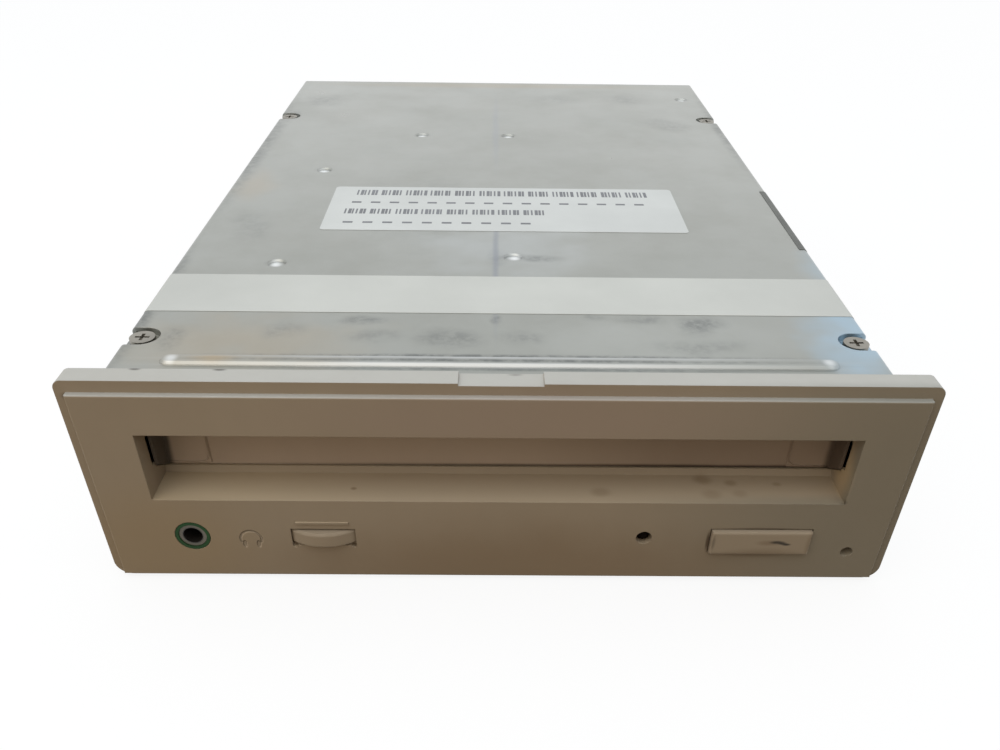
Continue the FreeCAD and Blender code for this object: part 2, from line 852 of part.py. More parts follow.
def make_chassis():
    body = new_body("chassis")
    wall = size.chassis_sheet
    shoulder = size.shoulder_height
    pad(body, "XZ", front, size.body_length, outline(*both_sides([
        (body_half, 0.0), (body_half, shoulder), (web_outer, shoulder), (web_outer, tab_top),
        (web_inner, tab_top), (web_inner, shoulder - wall), (body_half - wall, shoulder - wall),
        (body_half - wall, wall)])))
    round_edges(body, size.cover_bend, lambda edge: runs_along(edge, "y") and near(edge.BoundBox.ZMin, 0.0)
                and near(abs(edge.BoundBox.XMin), body_half))
    gap = size.cutout_gap
    pad(body, "XZ", rear - wall, wall,
        rectangle((wall - body_half, body_half - wall), (wall / 2, size.rear_wall_height)))
    for x, length, height in cutouts:
        pocket(body, "XZ", rear - wall * 1.5, wall * 2,
               rectangle((x - gap, x + length + gap), (board_top - gap, board_top + height + gap)))
    ear = pad(body, "XZ", rear - wall, wall,
              rectangle((web_inner, body_half - wall / 2), (size.rear_wall_height - wall, shoulder - wall / 2)))
    mirrored(body, [ear])
    for y in seats_y:
        tab = pad(body, "XY", tab_top - wall, wall,
                  rectangle((web_outer - size.seat_tab_reach, web_outer),
                            (y - size.seat_tab_length / 2, y + size.seat_tab_length / 2)),
                  circle(seat_x, y, size.tab_hole_radius))
        mirrored(body, [tab])
    window_start = front + size.hook_window_back
    window = rectangle((window_start, window_start + size.hook_window_length),
                       (size.hook_low, size.hook_low + size.hook_height))
    holes = [circle(y, z, size.mount_hole_radius) for y, z in side_holes]
    for start in (body_half - wall * 1.5, -body_half - wall / 2):
        pocket(body, "YZ", start, wall * 2, window, *holes)
    pocket(body, "XY", -wall / 2, wall * 2, *[circle(x, y, size.mount_hole_radius) for x, y in bottom_holes])


def make_top_cover():
    body = new_body("top_cover")
    wall = size.cover_sheet
    top = size.cover_top
    low = size.shoulder_height + size.edge_gap
    inside = cover_half - wall
    pad(body, "XZ", front, size.body_length,
        outline((-cover_half, low), (-cover_half, top), (cover_half, top), (cover_half, low),
                (inside, low), (inside, top - wall), (-inside, top - wall), (-inside, low)))
    round_edges(body, size.cover_bend, lambda edge: runs_along(edge, "y") and near(edge.BoundBox.ZMax, top))
    flange_half = web_inner - size.cover_gap
    pad(body, "XZ", rear - wall, wall,
        rectangle((-flange_half, flange_half), (size.rear_wall_height + size.edge_gap, top - wall / 2)))
    rib_y = front + size.rib_back
    rib_end = cover_half - size.rib_inset - size.rib_width / 2
    pad(body, "XY", top - wall / 2, size.rib_height + wall / 2,
        slot((-rib_end, rib_y), (rib_end, rib_y), size.rib_width / 2))
    rib_top = top + size.rib_height
    round_edges(body, size.rib_height * 0.8, lambda edge: near(edge.BoundBox.ZMin, rib_top), "Chamfer")
    for y in seats_y:
        add_screw_seat(body, y)
    pocket(body, "XY", top - size.dimple_depth, size.dimple_depth,
           *[circle(cover_half * across, front + size.body_length * along, size.dimple_radius)
             for across, along in DIMPLES])
    rim = size.dimple_radius * 2 * math.pi
    round_edges(body, size.dimple_depth * 0.8,
                lambda edge: near(edge.BoundBox.ZMin, top) and near(edge.Length, rim), "Chamfer")


def add_screw_seat(body, y):
    """A sunk seat near the edge, open to the side, resting on a tab of the chassis."""
    reach = size.seat_radius + size.cover_sheet
    under = pad(body, "XY", tab_top, size.cover_top - size.cover_sheet / 2 - tab_top,
                rectangle((seat_x - reach, web_outer), (y - reach, y + reach)))
    sunk = pocket(body, "XY", seat_floor, size.seat_depth,
                  slot((seat_x, y), (cover_half + reach, y), size.seat_radius))
    hole = pocket(body, "XY", tab_top, size.seat_depth, circle(seat_x, y, size.cover_hole_radius))
    mirrored(body, [under, sunk, hole])


def cross_recess(x, y, top):
    long, narrow = size.driver_slot_length / 2, size.driver_slot_width / 2
    heights = (top - size.driver_slot_depth, top + size.driver_slot_depth)
    return [block((x - long, x + long), (y - narrow, y + narrow), heights),
            block((x - narrow, x + narrow), (y - long, y + long), heights)]


def screw(x, y, seat, head_radius, head_height, shank_radius, shank_length):
    solid = merge([rod("z", (x, y), seat, head_height, head_radius),
                   rod("z", (x, y), seat - shank_length, shank_length, shank_radius)])
    return cut(solid, cross_recess(x, y, seat + head_height))


def make_cover_screws():
    keep(merge([screw(side * seat_x, y, seat_floor, size.cover_head_radius, size.cover_head_height,
                      size.cover_screw_radius, size.cover_screw_length)
                for side in (-1, 1) for y in seats_y]), "cover_screws")


# Front bezel and its controls

def make_front_bezel():
    body = new_body("front_bezel")
    top = size.bezel_height - size.bezel_drop
    low = -size.bezel_drop
    pad(body, "XZ", front - size.rim_depth, size.rim_depth, rectangle((-bezel_half, bezel_half), (low, top)))
    round_edges(body, size.corner_small, lambda edge: runs_along(edge, "y") and near(edge.BoundBox.ZMin, top))
    round_edges(body, size.corner_large, lambda edge: runs_along(edge, "y") and near(edge.BoundBox.ZMax, low))
    panel_half = bezel_half - size.panel_side_inset
    pad(body, "XZ", panel_front, size.panel_rise * 1.5,
        rectangle((-panel_half, panel_half), (low + size.panel_bottom_inset, top - size.panel_top_inset)))
    round_edges(body, size.panel_rise / 4, lambda edge: near(edge.BoundBox.YMax, panel_front))
    collar_half = mouth_half + size.collar_wall
    collar_low = size.mouth_floor - size.collar_wall
    collar_high = mouth_top + size.collar_wall
    cavity = panel_front + size.front_wall
    pocket(body, "XZ", cavity, front - cavity,
           rectangle((size.rim_wall - bezel_half, bezel_half - size.rim_wall),
                     (low + size.rim_wall, top - size.rim_wall)),
           rectangle((-collar_half, collar_half), (collar_low, collar_high)))
    cut_mouth(body, collar_half, collar_high)
    add_sill(body, collar_half, collar_low)
    add_hinge_bosses(body)
    add_hooks(body, cavity)
    cut_control_openings(body)
    pocket(body, "XY", top - size.notch_depth, size.notch_depth * 2,
           rectangle((-size.notch_width / 2, size.notch_width / 2), (front - size.rim_depth, front + 1)))


def cut_mouth(body, collar_half, collar_high):
    pocket(body, "XZ", panel_front - 1, size.rim_depth + size.panel_rise + 2,
           rectangle((-mouth_half, mouth_half), (size.mouth_floor, mouth_top)))
    wall_end = panel_front + size.mouth_wall_depth
    pocket(body, "XZ", wall_end, front - wall_end,
           rectangle((-collar_half - 1, collar_half + 1),
                     (size.mouth_floor + size.gusset_high, collar_high + 1)))


def add_sill(body, collar_half, collar_low):
    """The level floor of the mouth, its raised rear lip and the sloping side gussets."""
    edge = panel_front + size.sill_depth
    lip = edge + size.sill_step_run
    lip_top = size.mouth_floor + size.sill_step
    start = panel_front + size.front_wall
    pad(body, "YZ", -collar_half, collar_half * 2,
        outline((start, collar_low), (lip + size.door_plate, collar_low), (lip + size.door_plate, lip_top),
                (lip, lip_top), (edge, size.mouth_floor), (start, size.mouth_floor)))
    wall_end = panel_front + size.mouth_wall_depth
    gusset = pad(body, "YZ", mouth_half, size.collar_wall,
                 outline((start, size.mouth_floor - 1), (start, size.mouth_floor + size.gusset_high),
                         (wall_end, size.mouth_floor + size.gusset_high),
                         (lip, size.mouth_floor + size.gusset_low), (lip, size.mouth_floor - 1)))
    mirrored(body, [gusset])


def add_hinge_bosses(body):
    inner = mouth_half + size.door_side_gap
    low = size.door_hinge_height - size.hinge_boss_radius
    high = size.door_hinge_height + size.hinge_boss_radius
    web = pad(body, "YZ", inner, size.hinge_boss_width - size.door_side_gap,
              rectangle((panel_front + size.front_wall, door_y), (low, high)))
    boss = pad(body, "YZ", inner, size.hinge_boss_width,
               circle(door_y, size.door_hinge_height, size.hinge_boss_radius))
    bore = pocket(body, "YZ", inner, size.hinge_boss_width,
                  circle(door_y, size.door_hinge_height, size.door_pin_radius + size.door_pin_gap))
    mirrored(body, [web, boss, bore])


def add_hooks(body, cavity):
    """Two snap arms that click into windows of the chassis sides."""
    outer = body_half - size.chassis_sheet - size.hook_gap
    barb_start = front + size.hook_window_back + size.hook_gap
    barb_end = front + size.hook_window_back + size.hook_window_length - size.hook_gap
    hook = pad(body, "XY", size.hook_low + size.hook_gap, size.hook_height - size.hook_gap * 2,
               outline((outer - size.hook_thick, cavity - 1), (outer, cavity - 1), (outer, barb_start),
                       (outer + size.hook_barb, barb_start), (outer, barb_end),
                       (outer - size.hook_thick, barb_end)))
    mirrored(body, [hook])


def cut_control_openings(body):
    gap = size.button_gap
    wheel_half = size.wheel_opening / 2
    wheel_floor = size.wheel_low - size.wheel_gap
    wheel_ceiling = size.wheel_low + size.wheel_thick + size.wheel_gap
    wheel_left = wheel_x - wheel_half
    wheel_right = wheel_x + wheel_half
    pad(body, "XZ", panel_front - size.wedge_rise, size.wedge_rise * 2,
        rectangle((wheel_x - size.wedge_length / 2, wheel_x + size.wedge_length / 2),
                  (wheel_ceiling + size.wedge_above, wheel_ceiling + size.wedge_above + size.wedge_height)))
    pocket(body, "XZ", panel_front, size.front_wall,
           circle(jack_x, size.jack_height, size.jack_hole_radius),
           circle(led_x, size.led_height, size.led_hole_radius),
           circle(pinhole_x, size.pinhole_height, size.pinhole_radius),
           rectangle((button_left - gap, button_right + gap), (size.button_low - gap, button_high + gap)),
           rectangle((wheel_left, wheel_right), (wheel_floor, wheel_ceiling)))
    pocket(body, "XZ", panel_front, size.front_wall / 2,
           circle(wheel_left + size.wheel_notch_radius, wheel_floor, size.wheel_notch_radius),
           circle(wheel_right - size.wheel_notch_radius, wheel_floor, size.wheel_notch_radius))
    pocket(body, "XY", wheel_floor, wheel_ceiling - wheel_floor,
           circle(wheel_x, wheel_y, size.wheel_radius + size.wheel_gap))


def make_dust_door():
    body = new_body("dust_door")
    half = mouth_half - size.door_side_gap
    bottom = size.mouth_floor + size.sill_step + size.door_bottom_gap
    axis_z = size.door_hinge_height
    plate_front = panel_front + size.sill_depth + size.sill_step_run + size.door_rest_gap
    plate_rear = plate_front + size.door_plate
    wing_front = door_y - size.door_hub_radius
    hub_top = axis_z + size.door_hub_radius / 2
    pad(body, "XZ", plate_front, size.door_plate, rectangle((-half, half), (bottom, hub_top)))
    pad(body, "YZ", -half, half * 2, circle(door_y, axis_z, size.door_hub_radius))
    pad(body, "YZ", -half, half * 2,
        rectangle((door_y, plate_rear), (axis_z - size.door_hub_radius / 2, hub_top)))
    pocket(body, "YZ", spring_start, spring_room,
           circle(door_y, axis_z, size.door_hub_radius + size.spring_room_gap),
           circle(door_y, axis_z, size.door_pin_radius))
    wing = pad(body, "YZ", half - size.door_wing, size.door_wing,
               outline((wing_front, axis_z), (wing_front, size.mouth_floor + size.gusset_high),
                       (plate_front, bottom), (plate_front, axis_z)))
    pin = pad(body, "YZ", half, size.door_pin_reach, circle(door_y, axis_z, size.door_pin_radius))
    pad_outer = half - size.door_wing
    cushion = pad(body, "XZ", plate_front - size.door_pad_rise, size.door_pad_rise,
                  rectangle((pad_outer - size.door_pad_length, pad_outer),
                            (bottom + size.door_pad_low, axis_z - size.door_hub_radius)))
    mirrored(body, [wing, pin, cushion])


def make_door_spring():
    """A small closing coil around the thin part of the door's hub, with one short leg on the door."""
    body = new_body("door_spring")
    wire = size.spring_wire
    inner = size.spring_coil_radius - wire
    outer = size.spring_coil_radius + wire
    turns = []
    for number in range(SIZES["spring_turns"]):
        low = size.spring_pitch * number
        turns += [(outer, low), (outer, low + wire * 2), (size.spring_coil_radius, low + wire * 2),
                  (size.spring_coil_radius, low + size.spring_pitch)]
    revolve(body, outline((inner, 0.0), *turns[:-2], (inner, turns[-3][1])))
    pad(body, "XY", 0.0, wire * 2, rectangle((inner, outer), (wire, size.spring_leg)))
    body.Placement.Rotation = ALONG_X
    place(body, spring_start + wire * 2, door_y, size.door_hinge_height)


def make_eject_button():
    body = new_body("eject_button")
    cap_front = panel_front - size.button_rise
    cap_rear = cap_front + size.button_depth
    grow = size.button_flange
    pad(body, "XZ", cap_front, size.button_depth,
        rectangle((button_left, button_right), (size.button_low, button_high)))
    round_edges(body, size.button_edge, lambda edge: near(edge.BoundBox.YMax, cap_front))
    pad(body, "XZ", cap_rear, size.button_flange_thick,
        rectangle((button_left - grow, button_right + grow), (size.button_low - grow, button_high + grow)))
    stem_half = size.button_stem_width / 2
    pad(body, "XZ", cap_rear, plunger_front - cap_rear,
        rectangle((button_x - stem_half, button_x + stem_half),
                  (button_middle - size.button_stem_height / 2, button_middle + size.button_stem_height / 2)))


def make_eject_switch():
    across = (button_x, button_middle)
    keep(rod("y", across, plunger_front, size.plunger_length, size.plunger_radius), "switch_plunger")
    half = size.switch_width / 2
    case = block((button_x - half, button_x + half), (switch_front, switch_front + size.switch_depth),
                 (front_board_top, button_middle + half))
    bore_end = plunger_front + size.plunger_length + size.button_travel + size.slide_gap
    bore_start = switch_front - 1
    bore = rod("y", across, bore_start, bore_end - bore_start, size.plunger_radius + size.plunger_gap)
    keep(cut(case, [bore]), "eject_switch")


def make_volume_wheel():
    body = new_body("volume_wheel")
    pad(body, "XY", 0.0, size.wheel_thick, circle(0.0, 0.0, size.wheel_radius),
        circle(0.0, 0.0, size.wheel_bore_radius))
    rim = size.wheel_radius * 2 * math.pi
    round_edges(body, size.wheel_edge, lambda edge: near(edge.Length, rim), "Chamfer")
    place(body, wheel_x, wheel_y, size.wheel_low)
    half = size.pot_width / 2
    case_top = size.wheel_low - size.wheel_gap - size.wheel_edge / 2
    case = block((wheel_x - half, wheel_x + half), (wheel_y - half, wheel_y + half),
                 (front_board_top, case_top))
    shaft = rod("z", (wheel_x, wheel_y), case_top - 1, size.wheel_low + size.wheel_thick - case_top + 1,
                size.pot_shaft_radius)
    keep(merge([case, shaft]), "volume_pot")


def make_headphone_jack():
    across = (jack_x, size.jack_height)
    half = size.jack_body_width / 2
    nose = panel_front
    shoulder = nose + size.jack_ring_length
    case = block((jack_x - half, jack_x + half), (jack_y, jack_y + size.jack_body_length),
                 (front_board_top, size.jack_height + half))
    collar = rod("y", across, shoulder, jack_y + 1 - shoulder, size.jack_ring_radius - size.jack_ring_gap)
    barrel = rod("y", across, nose + size.jack_ring_gap, jack_y - nose, size.jack_barrel_radius)
    bore = rod("y", across, nose - 1, size.jack_bore_length + 1, size.jack_bore_radius)
    keep(cut(merge([case, collar, barrel]), [bore]), "headphone_jack")
    ring = rod("y", across, nose, size.jack_ring_length, size.jack_ring_radius)
    inner = rod("y", across, nose - 1, size.jack_ring_length + 2, size.jack_barrel_radius + size.gear_fit)
    keep(cut(ring, [inner]), "jack_ring")


def make_busy_led():
    across = (led_x, size.led_height)
    dome_y = panel_front + size.led_recess + size.led_radius
    case = rod("y", across, dome_y, front - dome_y, size.led_radius)
    dome = doc.addObject("Part::Sphere", "Dome")
    bind(dome, Radius=size.led_radius)
    place(dome, led_x, dome_y, size.led_height)
    flange = rod("y", across, front - size.led_flange_thick, size.led_flange_thick, size.led_radius * 1.25)
    legs = []
    leg_y = front + size.front_board_back + 1
    leg_top = size.led_height + size.led_leg_radius
    for side in (-1, 1):
        x = led_x + side * size.led_leg_pitch / 2
        legs.append(rod("y", (x, size.led_height), front - 1, leg_y + 1 - front, size.led_leg_radius))
        legs.append(rod("z", (x, leg_y), front_board_top, leg_top - front_board_top, size.led_leg_radius))
    keep(merge([case, dome, flange] + legs), "busy_led")


# Caddy holder and its lift

def make_caddy_holder():
    body = new_body("caddy_holder")
    sheet_thick = size.holder_sheet
    rail_inner = holder_half - size.holder_rail
    inside = holder_half - sheet_thick
    pad(body, "XZ", holder_front, size.caddy_length,
        outline((-holder_half, size.holder_floor), (-holder_half, roof_top), (holder_half, roof_top),
                (holder_half, size.holder_floor), (rail_inner, size.holder_floor), (rail_inner, floor_top),
                (inside, floor_top), (inside, roof_low), (-inside, roof_low), (-inside, floor_top),
                (-rail_inner, floor_top), (-rail_inner, size.holder_floor)))
    pocket(body, "XY", roof_low - 1, sheet_thick + 2, circle(0.0, spindle_y, size.holder_window_radius))
    pad(body, "XZ", holder_rear - sheet_thick, sheet_thick,
        rectangle((-size.stop_half, size.stop_half), (roof_low - size.stop_drop, roof_top)))
    ear_inner = size.clamp_arm_width / 2 + size.clamp_gap
    across = (clamp_pivot_y, clamp_pivot_z)
    ear_half = size.clamp_pin_radius * 2
    ear = pad(body, "YZ", ear_inner, size.ear_thick,
              rectangle((clamp_pivot_y - ear_half, clamp_pivot_y + ear_half),
                        (roof_top - sheet_thick / 2, clamp_pivot_z + ear_half)))
    bore = pocket(body, "YZ", ear_inner, size.ear_thick, circle(*across, size.clamp_pin_radius))
    mirrored(body, [ear, bore])
    reach = ear_inner + size.ear_thick
    keep(rod("x", across, -reach, reach * 2, size.clamp_pin_radius), "clamp_pivot")
    length = slide_outer + size.stud_head_thick - holder_half
    keep(merge([rod("x", (y, lift_pin_z), start, length, size.lift_pin_radius)
                for y in lift_pins_y for start in (holder_half, -holder_half - length)]), "holder_pins")


def make_cam_slides():
    make_cam_slide("cam_slide_left", -1)
    make_cam_slide("cam_slide_right", 1)


def make_loader_frame():
    body = new_body("loader_frame")
    start = front + size.frame_back
    rear_end = holder_rear + size.frame_behind
    inner = frame_half - size.frame_sheet
    floor = size.chassis_sheet
    bridge_low = size.frame_top - size.frame_sheet
    lowered = lift_pin_z - size.lift_travel
    slot_radius = size.lift_pin_radius + size.lift_slot_gap
    reach_end = rear_end + size.frame_rear_reach
    plate = pad(body, "YZ", inner, size.frame_sheet,
                outline((start, floor), (rear_end, floor), (rear_end, lift_pin_z), (reach_end, lift_pin_z),
                        (reach_end, size.frame_top), (start, size.frame_top)),
                *[slot((y, lowered), (y, lift_pin_z), slot_radius) for y in lift_pins_y])
    foot = (inner, frame_half + size.frame_foot_reach)
    feet = pad(body, "XY", floor, size.frame_sheet,
               rectangle(foot, (start, start + size.frame_foot_length)),
               rectangle(foot, (rear_end - size.frame_foot_length, rear_end)))
    mirrored(body, [plate, feet])
    bridge = (-inner - size.frame_sheet / 2, inner + size.frame_sheet / 2)
    pad(body, "XY", bridge_low, size.frame_sheet,
        rectangle(bridge, (start, start + size.frame_bridge)), rectangle(bridge, (rear_end, reach_end)))
    add_slide_studs()


def add_slide_studs():
    studs = []
    head = size.stud_head_thick
    shank = slide_outer + size.slide_gap - frame_half
    for y in studs_y:
        spot = (y, size.stud_height)
        end = frame_half + shank
        for shank_start, head_start in ((frame_half, end), (-end, -end - head)):
            studs.append(rod("x", spot, shank_start, shank, size.stud_radius))
            studs.append(rod("x", spot, head_start, head, size.stud_head_radius))
    keep(merge(studs), "slide_studs")


def make_cam_slide(label, side):
    """A cam plate whose sloping slots lower the holder pins as it slides."""
    body = new_body(label)
    start = slide_inner if side > 0 else -slide_outer
    shift = slide_travel if side > 0 else -slide_travel
    strip_front = front + size.slide_front_back
    strip_rear = lift_pins_y[1] + size.slide_margin
    if side > 0:
        strip_rear = strip_rear + slide_travel
    peg_y = lever_y + side * size.lift_travel * size.slide_ratio / 2
    tail_rear = rack_rear if side > 0 else peg_y + size.peg_radius * 2
    low = size.slide_rear_low
    high = low + size.slide_rear_height
    slot_radius = size.lift_pin_radius + size.lift_slot_gap
    lowered = lift_pin_z - size.lift_travel
    stud_radius = size.stud_radius + size.lift_slot_gap
    stud_z = size.stud_height
    cam_slots = [slot((y, lift_pin_z), (y + shift, lowered), slot_radius) for y in lift_pins_y]
    stud_slots = [slot((y, stud_z), (y + shift, stud_z), stud_radius) for y in studs_y]
    pad(body, "YZ", start, size.slide_sheet,
        outline((strip_front, size.slide_low), (strip_rear, size.slide_low), (strip_rear, low),
                (tail_rear, low), (tail_rear, high), (strip_rear, high),
                (strip_rear, size.slide_high), (strip_front, size.slide_high)),
        *cam_slots, *stud_slots)
    pad(body, "XY", peg_low, low + 1 - peg_low, circle(side * slide_middle, peg_y, size.peg_radius))
    if side > 0:
        add_eject_tab(body, strip_front)
        add_slide_rack(body)


def add_eject_tab(body, strip_front):
    """The finger that a pin pushed through the pinhole moves."""
    half = size.eject_tab_height / 2
    pad(body, "YZ", slide_inner, size.slide_sheet,
        outline((strip_front, size.slide_low + 1), (strip_front, size.pinhole_height + half),
                (strip_front - size.eject_tab_length, size.pinhole_height + half),
                (strip_front - size.eject_tab_length, size.pinhole_height - half),
                (strip_front + size.eject_tab_height, size.pinhole_height - half),
                (strip_front + size.eject_tab_height, size.slide_low + 1)))


def rack_tooth(base_x, tip_x, middle, pitch):
    wide, narrow = pitch * size.tooth_root_share / 2, pitch * size.tooth_tip_share / 2
    return outline((base_x, middle - wide), (tip_x, middle - narrow),
                   (tip_x, middle + narrow), (base_x, middle + wide))


def add_slide_rack(body):
    base_x = rack_line + size.rack_module * size.dedendum
    tip_x = rack_line - size.rack_module * size.addendum
    start = rack_rear - rack_pitch * (size.rack_teeth + 1)
    pad(body, "XY", size.rack_low, size.rack_thick,
        rectangle((base_x, slide_inner + size.slide_sheet / 2), (start, rack_rear)))
    first = gear_y - rack_pitch / 2
    teeth = [rack_tooth(base_x + size.overlap, tip_x, first + rack_pitch * number, rack_pitch)
             for number in range(SIZES["rack_teeth"])]
    pad(body, "XY", size.rack_low, size.rack_thick, *teeth)


# Sync lever between the two cam slides

def turned(body, degrees, axis=(0, 0, 1)):
    body.Placement.Rotation = FreeCAD.Rotation(FreeCAD.Vector(*axis), 1)
    body.setExpression("Placement.Rotation.Angle", formula(degrees).text)
    return body


def make_sync_lever():
    body = new_body("sync_lever")
    half = size.lever_half_width
    reach = slide_middle + size.peg_radius * 3
    fork_radius = size.peg_radius + size.peg_gap
    pad(body, "XY", 0.0, size.lever_thick, rectangle((-reach, reach), (-half, half)))
    pad(body, "XY", 0.0, size.lever_thick, circle(0.0, 0.0, size.lever_hub_radius))
    fork = pocket(body, "XY", 0.0, size.lever_thick,
                  slot((slide_middle - size.peg_radius, 0.0), (reach + size.peg_radius, 0.0), fork_radius))
    mirrored(body, [fork])
    pocket(body, "XY", 0.0, size.lever_thick, circle(0.0, 0.0, size.lever_pin_radius + size.lever_fit))
    turned(body, arctangent(slide_travel / 2 / slide_middle))
    place(body, 0.0, lever_y, size.lever_low)
    centre = (0.0, lever_y)
    post_top = size.lever_low - size.slide_gap
    cap = size.lever_low + size.lever_thick + size.slide_gap
    keep(merge([rod("z", centre, size.chassis_sheet, post_top - size.chassis_sheet, size.lever_pin_radius * 2),
                rod("z", centre, post_top - 1, cap + 1 - post_top, size.lever_pin_radius),
                rod("z", centre, cap, size.lever_pin_radius / 2, size.lever_pin_radius * 1.8)]), "lever_pivot")


# Gear train of the loading motor

def add_teeth(body, low, thick, module, teeth, bore):
    """A disc with straight-sided teeth around it, the first one pointing along X."""
    line = module * teeth / 2
    base = line - module * size.dedendum
    wide = module * math.pi * size.tooth_root_share / 2
    narrow = module * math.pi * size.tooth_tip_share / 2
    tip = line + module * size.addendum
    pad(body, "XY", low, thick, circle(0.0, 0.0, base), circle(0.0, 0.0, bore))
    foot = base - size.overlap
    tooth = pad(body, "XY", low, thick, outline((foot, -wide), (tip, -narrow), (tip, narrow), (foot, wide)))
    polar(body, tooth, teeth)


def make_main_gear():
    body = new_body("main_gear")
    bore = size.gear_shaft_radius + size.gear_fit
    add_teeth(body, size.main_gear_low, size.gear_thick, size.tooth_module, size.main_gear_teeth, bore)
    wheel_top = size.main_gear_low + size.gear_thick
    high = size.rack_low + size.rack_thick + size.slide_gap
    pad(body, "XY", wheel_top, size.rack_low - size.slide_gap - wheel_top,
        circle(0.0, 0.0, rack_pinion_radius - size.rack_module * size.dedendum), circle(0.0, 0.0, bore))
    low = size.rack_low - size.slide_gap
    add_teeth(body, low, high - low, size.rack_module, size.rack_pinion_teeth, bore)
    place(body, main_gear_x, gear_y, 0.0)


def pulley_outline(bore, radius, low):
    high = low + size.pulley_thick
    middle = low + size.pulley_thick / 2
    half = size.belt_width / 2 + size.belt_gap
    groove = radius - size.groove_depth
    return outline((bore, low), (radius, low), (radius, middle - half), (groove, middle - half),
                   (groove, middle + half), (radius, middle + half), (radius, high), (bore, high))


def make_gear_pulley():
    body = new_body("gear_pulley")
    bore = size.gear_shaft_radius + size.gear_fit
    revolve(body, pulley_outline(bore, size.pulley_radius, size.pulley_low))
    hub_low = size.pulley_low + size.pulley_thick
    pad(body, "XY", hub_low, size.main_gear_low - hub_low,
        circle(0.0, 0.0, pulley_pinion_radius - size.tooth_module * size.dedendum), circle(0.0, 0.0, bore))
    add_teeth(body, size.main_gear_low, size.gear_thick + size.overlap, size.tooth_module,
              size.pulley_pinion_teeth, bore)
    turned(body, 180 / size.pulley_pinion_teeth)
    place(body, pulley_x, gear_y, 0.0)


def make_motor_pulley():
    body = new_body("motor_pulley")
    bore = size.motor_shaft_radius + size.gear_fit
    revolve(body, pulley_outline(bore, size.motor_pulley_radius, size.pulley_low))
    place(body, motor_x, gear_y, 0.0)


def belt_side(reach, big, small):
    """The straight-sided hull between two circles, reach apart, the big one at the centre."""
    lean = (big - small) / reach
    rise = root(1 - lean * lean)
    return outline((-lean * big, rise * big), (-reach - lean * small, rise * small),
                   (-reach - lean * small, -rise * small), (-lean * big, -rise * big))


def make_drive_belt():
    body = new_body("drive_belt")
    reach = pulley_x - motor_x
    low = size.pulley_low + (size.pulley_thick - size.belt_width) / 2
    big = size.pulley_radius - size.groove_depth + size.belt_gap
    small = size.motor_pulley_radius - size.groove_depth + size.belt_gap
    for grow, shape in ((size.belt_depth, pad), (formula(0.0), pocket)):
        for drawing in (belt_side(reach, big + grow, small + grow), circle(0.0, 0.0, big + grow),
                        circle(-reach, 0.0, small + grow)):
            shape(body, "XY", low, size.belt_width, drawing)
    place(body, pulley_x, gear_y, 0.0)


def make_gear_plate():
    low = size.gear_plate_low
    start = gear_y - size.gear_plate_ahead
    keep(block((motor_x - size.gear_plate_left, main_gear_x + size.gear_plate_right),
               (start, start + size.gear_plate_depth), (low, low + size.gear_plate_thick)), "gear_plate")
    floor = size.chassis_sheet
    posts = [rod("z", spot, floor, low - floor, size.plate_post_radius) for spot in plate_posts]
    keep(merge(posts), "plate_posts")
    shafts = []
    for x, bottom in ((main_gear_x, size.main_gear_low), (pulley_x, size.pulley_low)):
        clip = bottom - size.slide_gap - size.clip_thick
        shafts.append(rod("z", (x, gear_y), clip, low - clip, size.gear_shaft_radius))
        shafts.append(rod("z", (x, gear_y), clip, size.clip_thick, size.gear_shaft_radius * 1.8))
    keep(merge(shafts), "gear_shafts")
    spot = (motor_x, gear_y)
    shaft_end = size.pulley_low - size.slide_gap
    keep(merge([rod("z", spot, low - size.motor_length, size.motor_length, size.motor_radius),
                rod("z", spot, shaft_end, low - shaft_end - 1, size.motor_shaft_radius)]), "loading_motor")


# Disc clamp, drawn from its pivot as when it presses and then raised

def tilt(body):
    turned(body, arctangent(-clamp_slope), (1, 0, 0))
    return place(body, 0.0, clamp_pivot_y, clamp_pivot_z)


def make_clamp_arm():
    body = new_body("clamp_arm")
    half = size.clamp_arm_width / 2
    nose = size.clamp_arm_nose / 2
    back = -size.clamp_pin_radius - size.puck_hole_gap
    pad(body, "XY", clamp_sheet_low, size.clamp_sheet,
        outline((-half, back), (-half, -clamp_reach / 2), (-nose, -clamp_reach), (-nose, -clamp_reach - nose),
                (nose, -clamp_reach - nose), (nose, -clamp_reach), (half, -clamp_reach / 2), (half, back)))
    pocket(body, "XY", clamp_sheet_low, size.clamp_sheet,
           circle(0.0, -clamp_reach, size.puck_neck_radius + size.puck_hole_gap))
    lug_radius = -clamp_sheet_low
    thick = size.clamp_sheet
    lug = pad(body, "YZ", half - thick, thick, circle(0.0, 0.0, lug_radius))
    web = pad(body, "YZ", half - thick, thick, rectangle((-lug_radius * 3, 0.0), (clamp_sheet_low, 0.0)))
    bore = pocket(body, "YZ", half - thick, thick, circle(0.0, 0.0, size.clamp_pin_radius + size.gear_fit))
    mirrored(body, [lug, web, bore])
    tilt(body)


def make_clamp_puck():
    body = new_body("clamp_puck")
    flange_top = puck_low + size.puck_flange
    cap_low = clamp_sheet_high + size.clamp_gap
    revolve(body, outline((0.0, puck_low), (size.puck_radius, puck_low), (size.puck_radius, flange_top),
                          (size.puck_neck_radius, flange_top), (size.puck_neck_radius, cap_low),
                          (size.puck_cap_radius, cap_low), (size.puck_cap_radius, puck_cap_high),
                          (0.0, puck_cap_high)))
    turned(body, arctangent(-clamp_slope), (1, 0, 0))
    place(body, 0.0, clamp_pivot_y - clamp_reach * clamp_cosine, clamp_pivot_z + clamp_reach * clamp_sine)


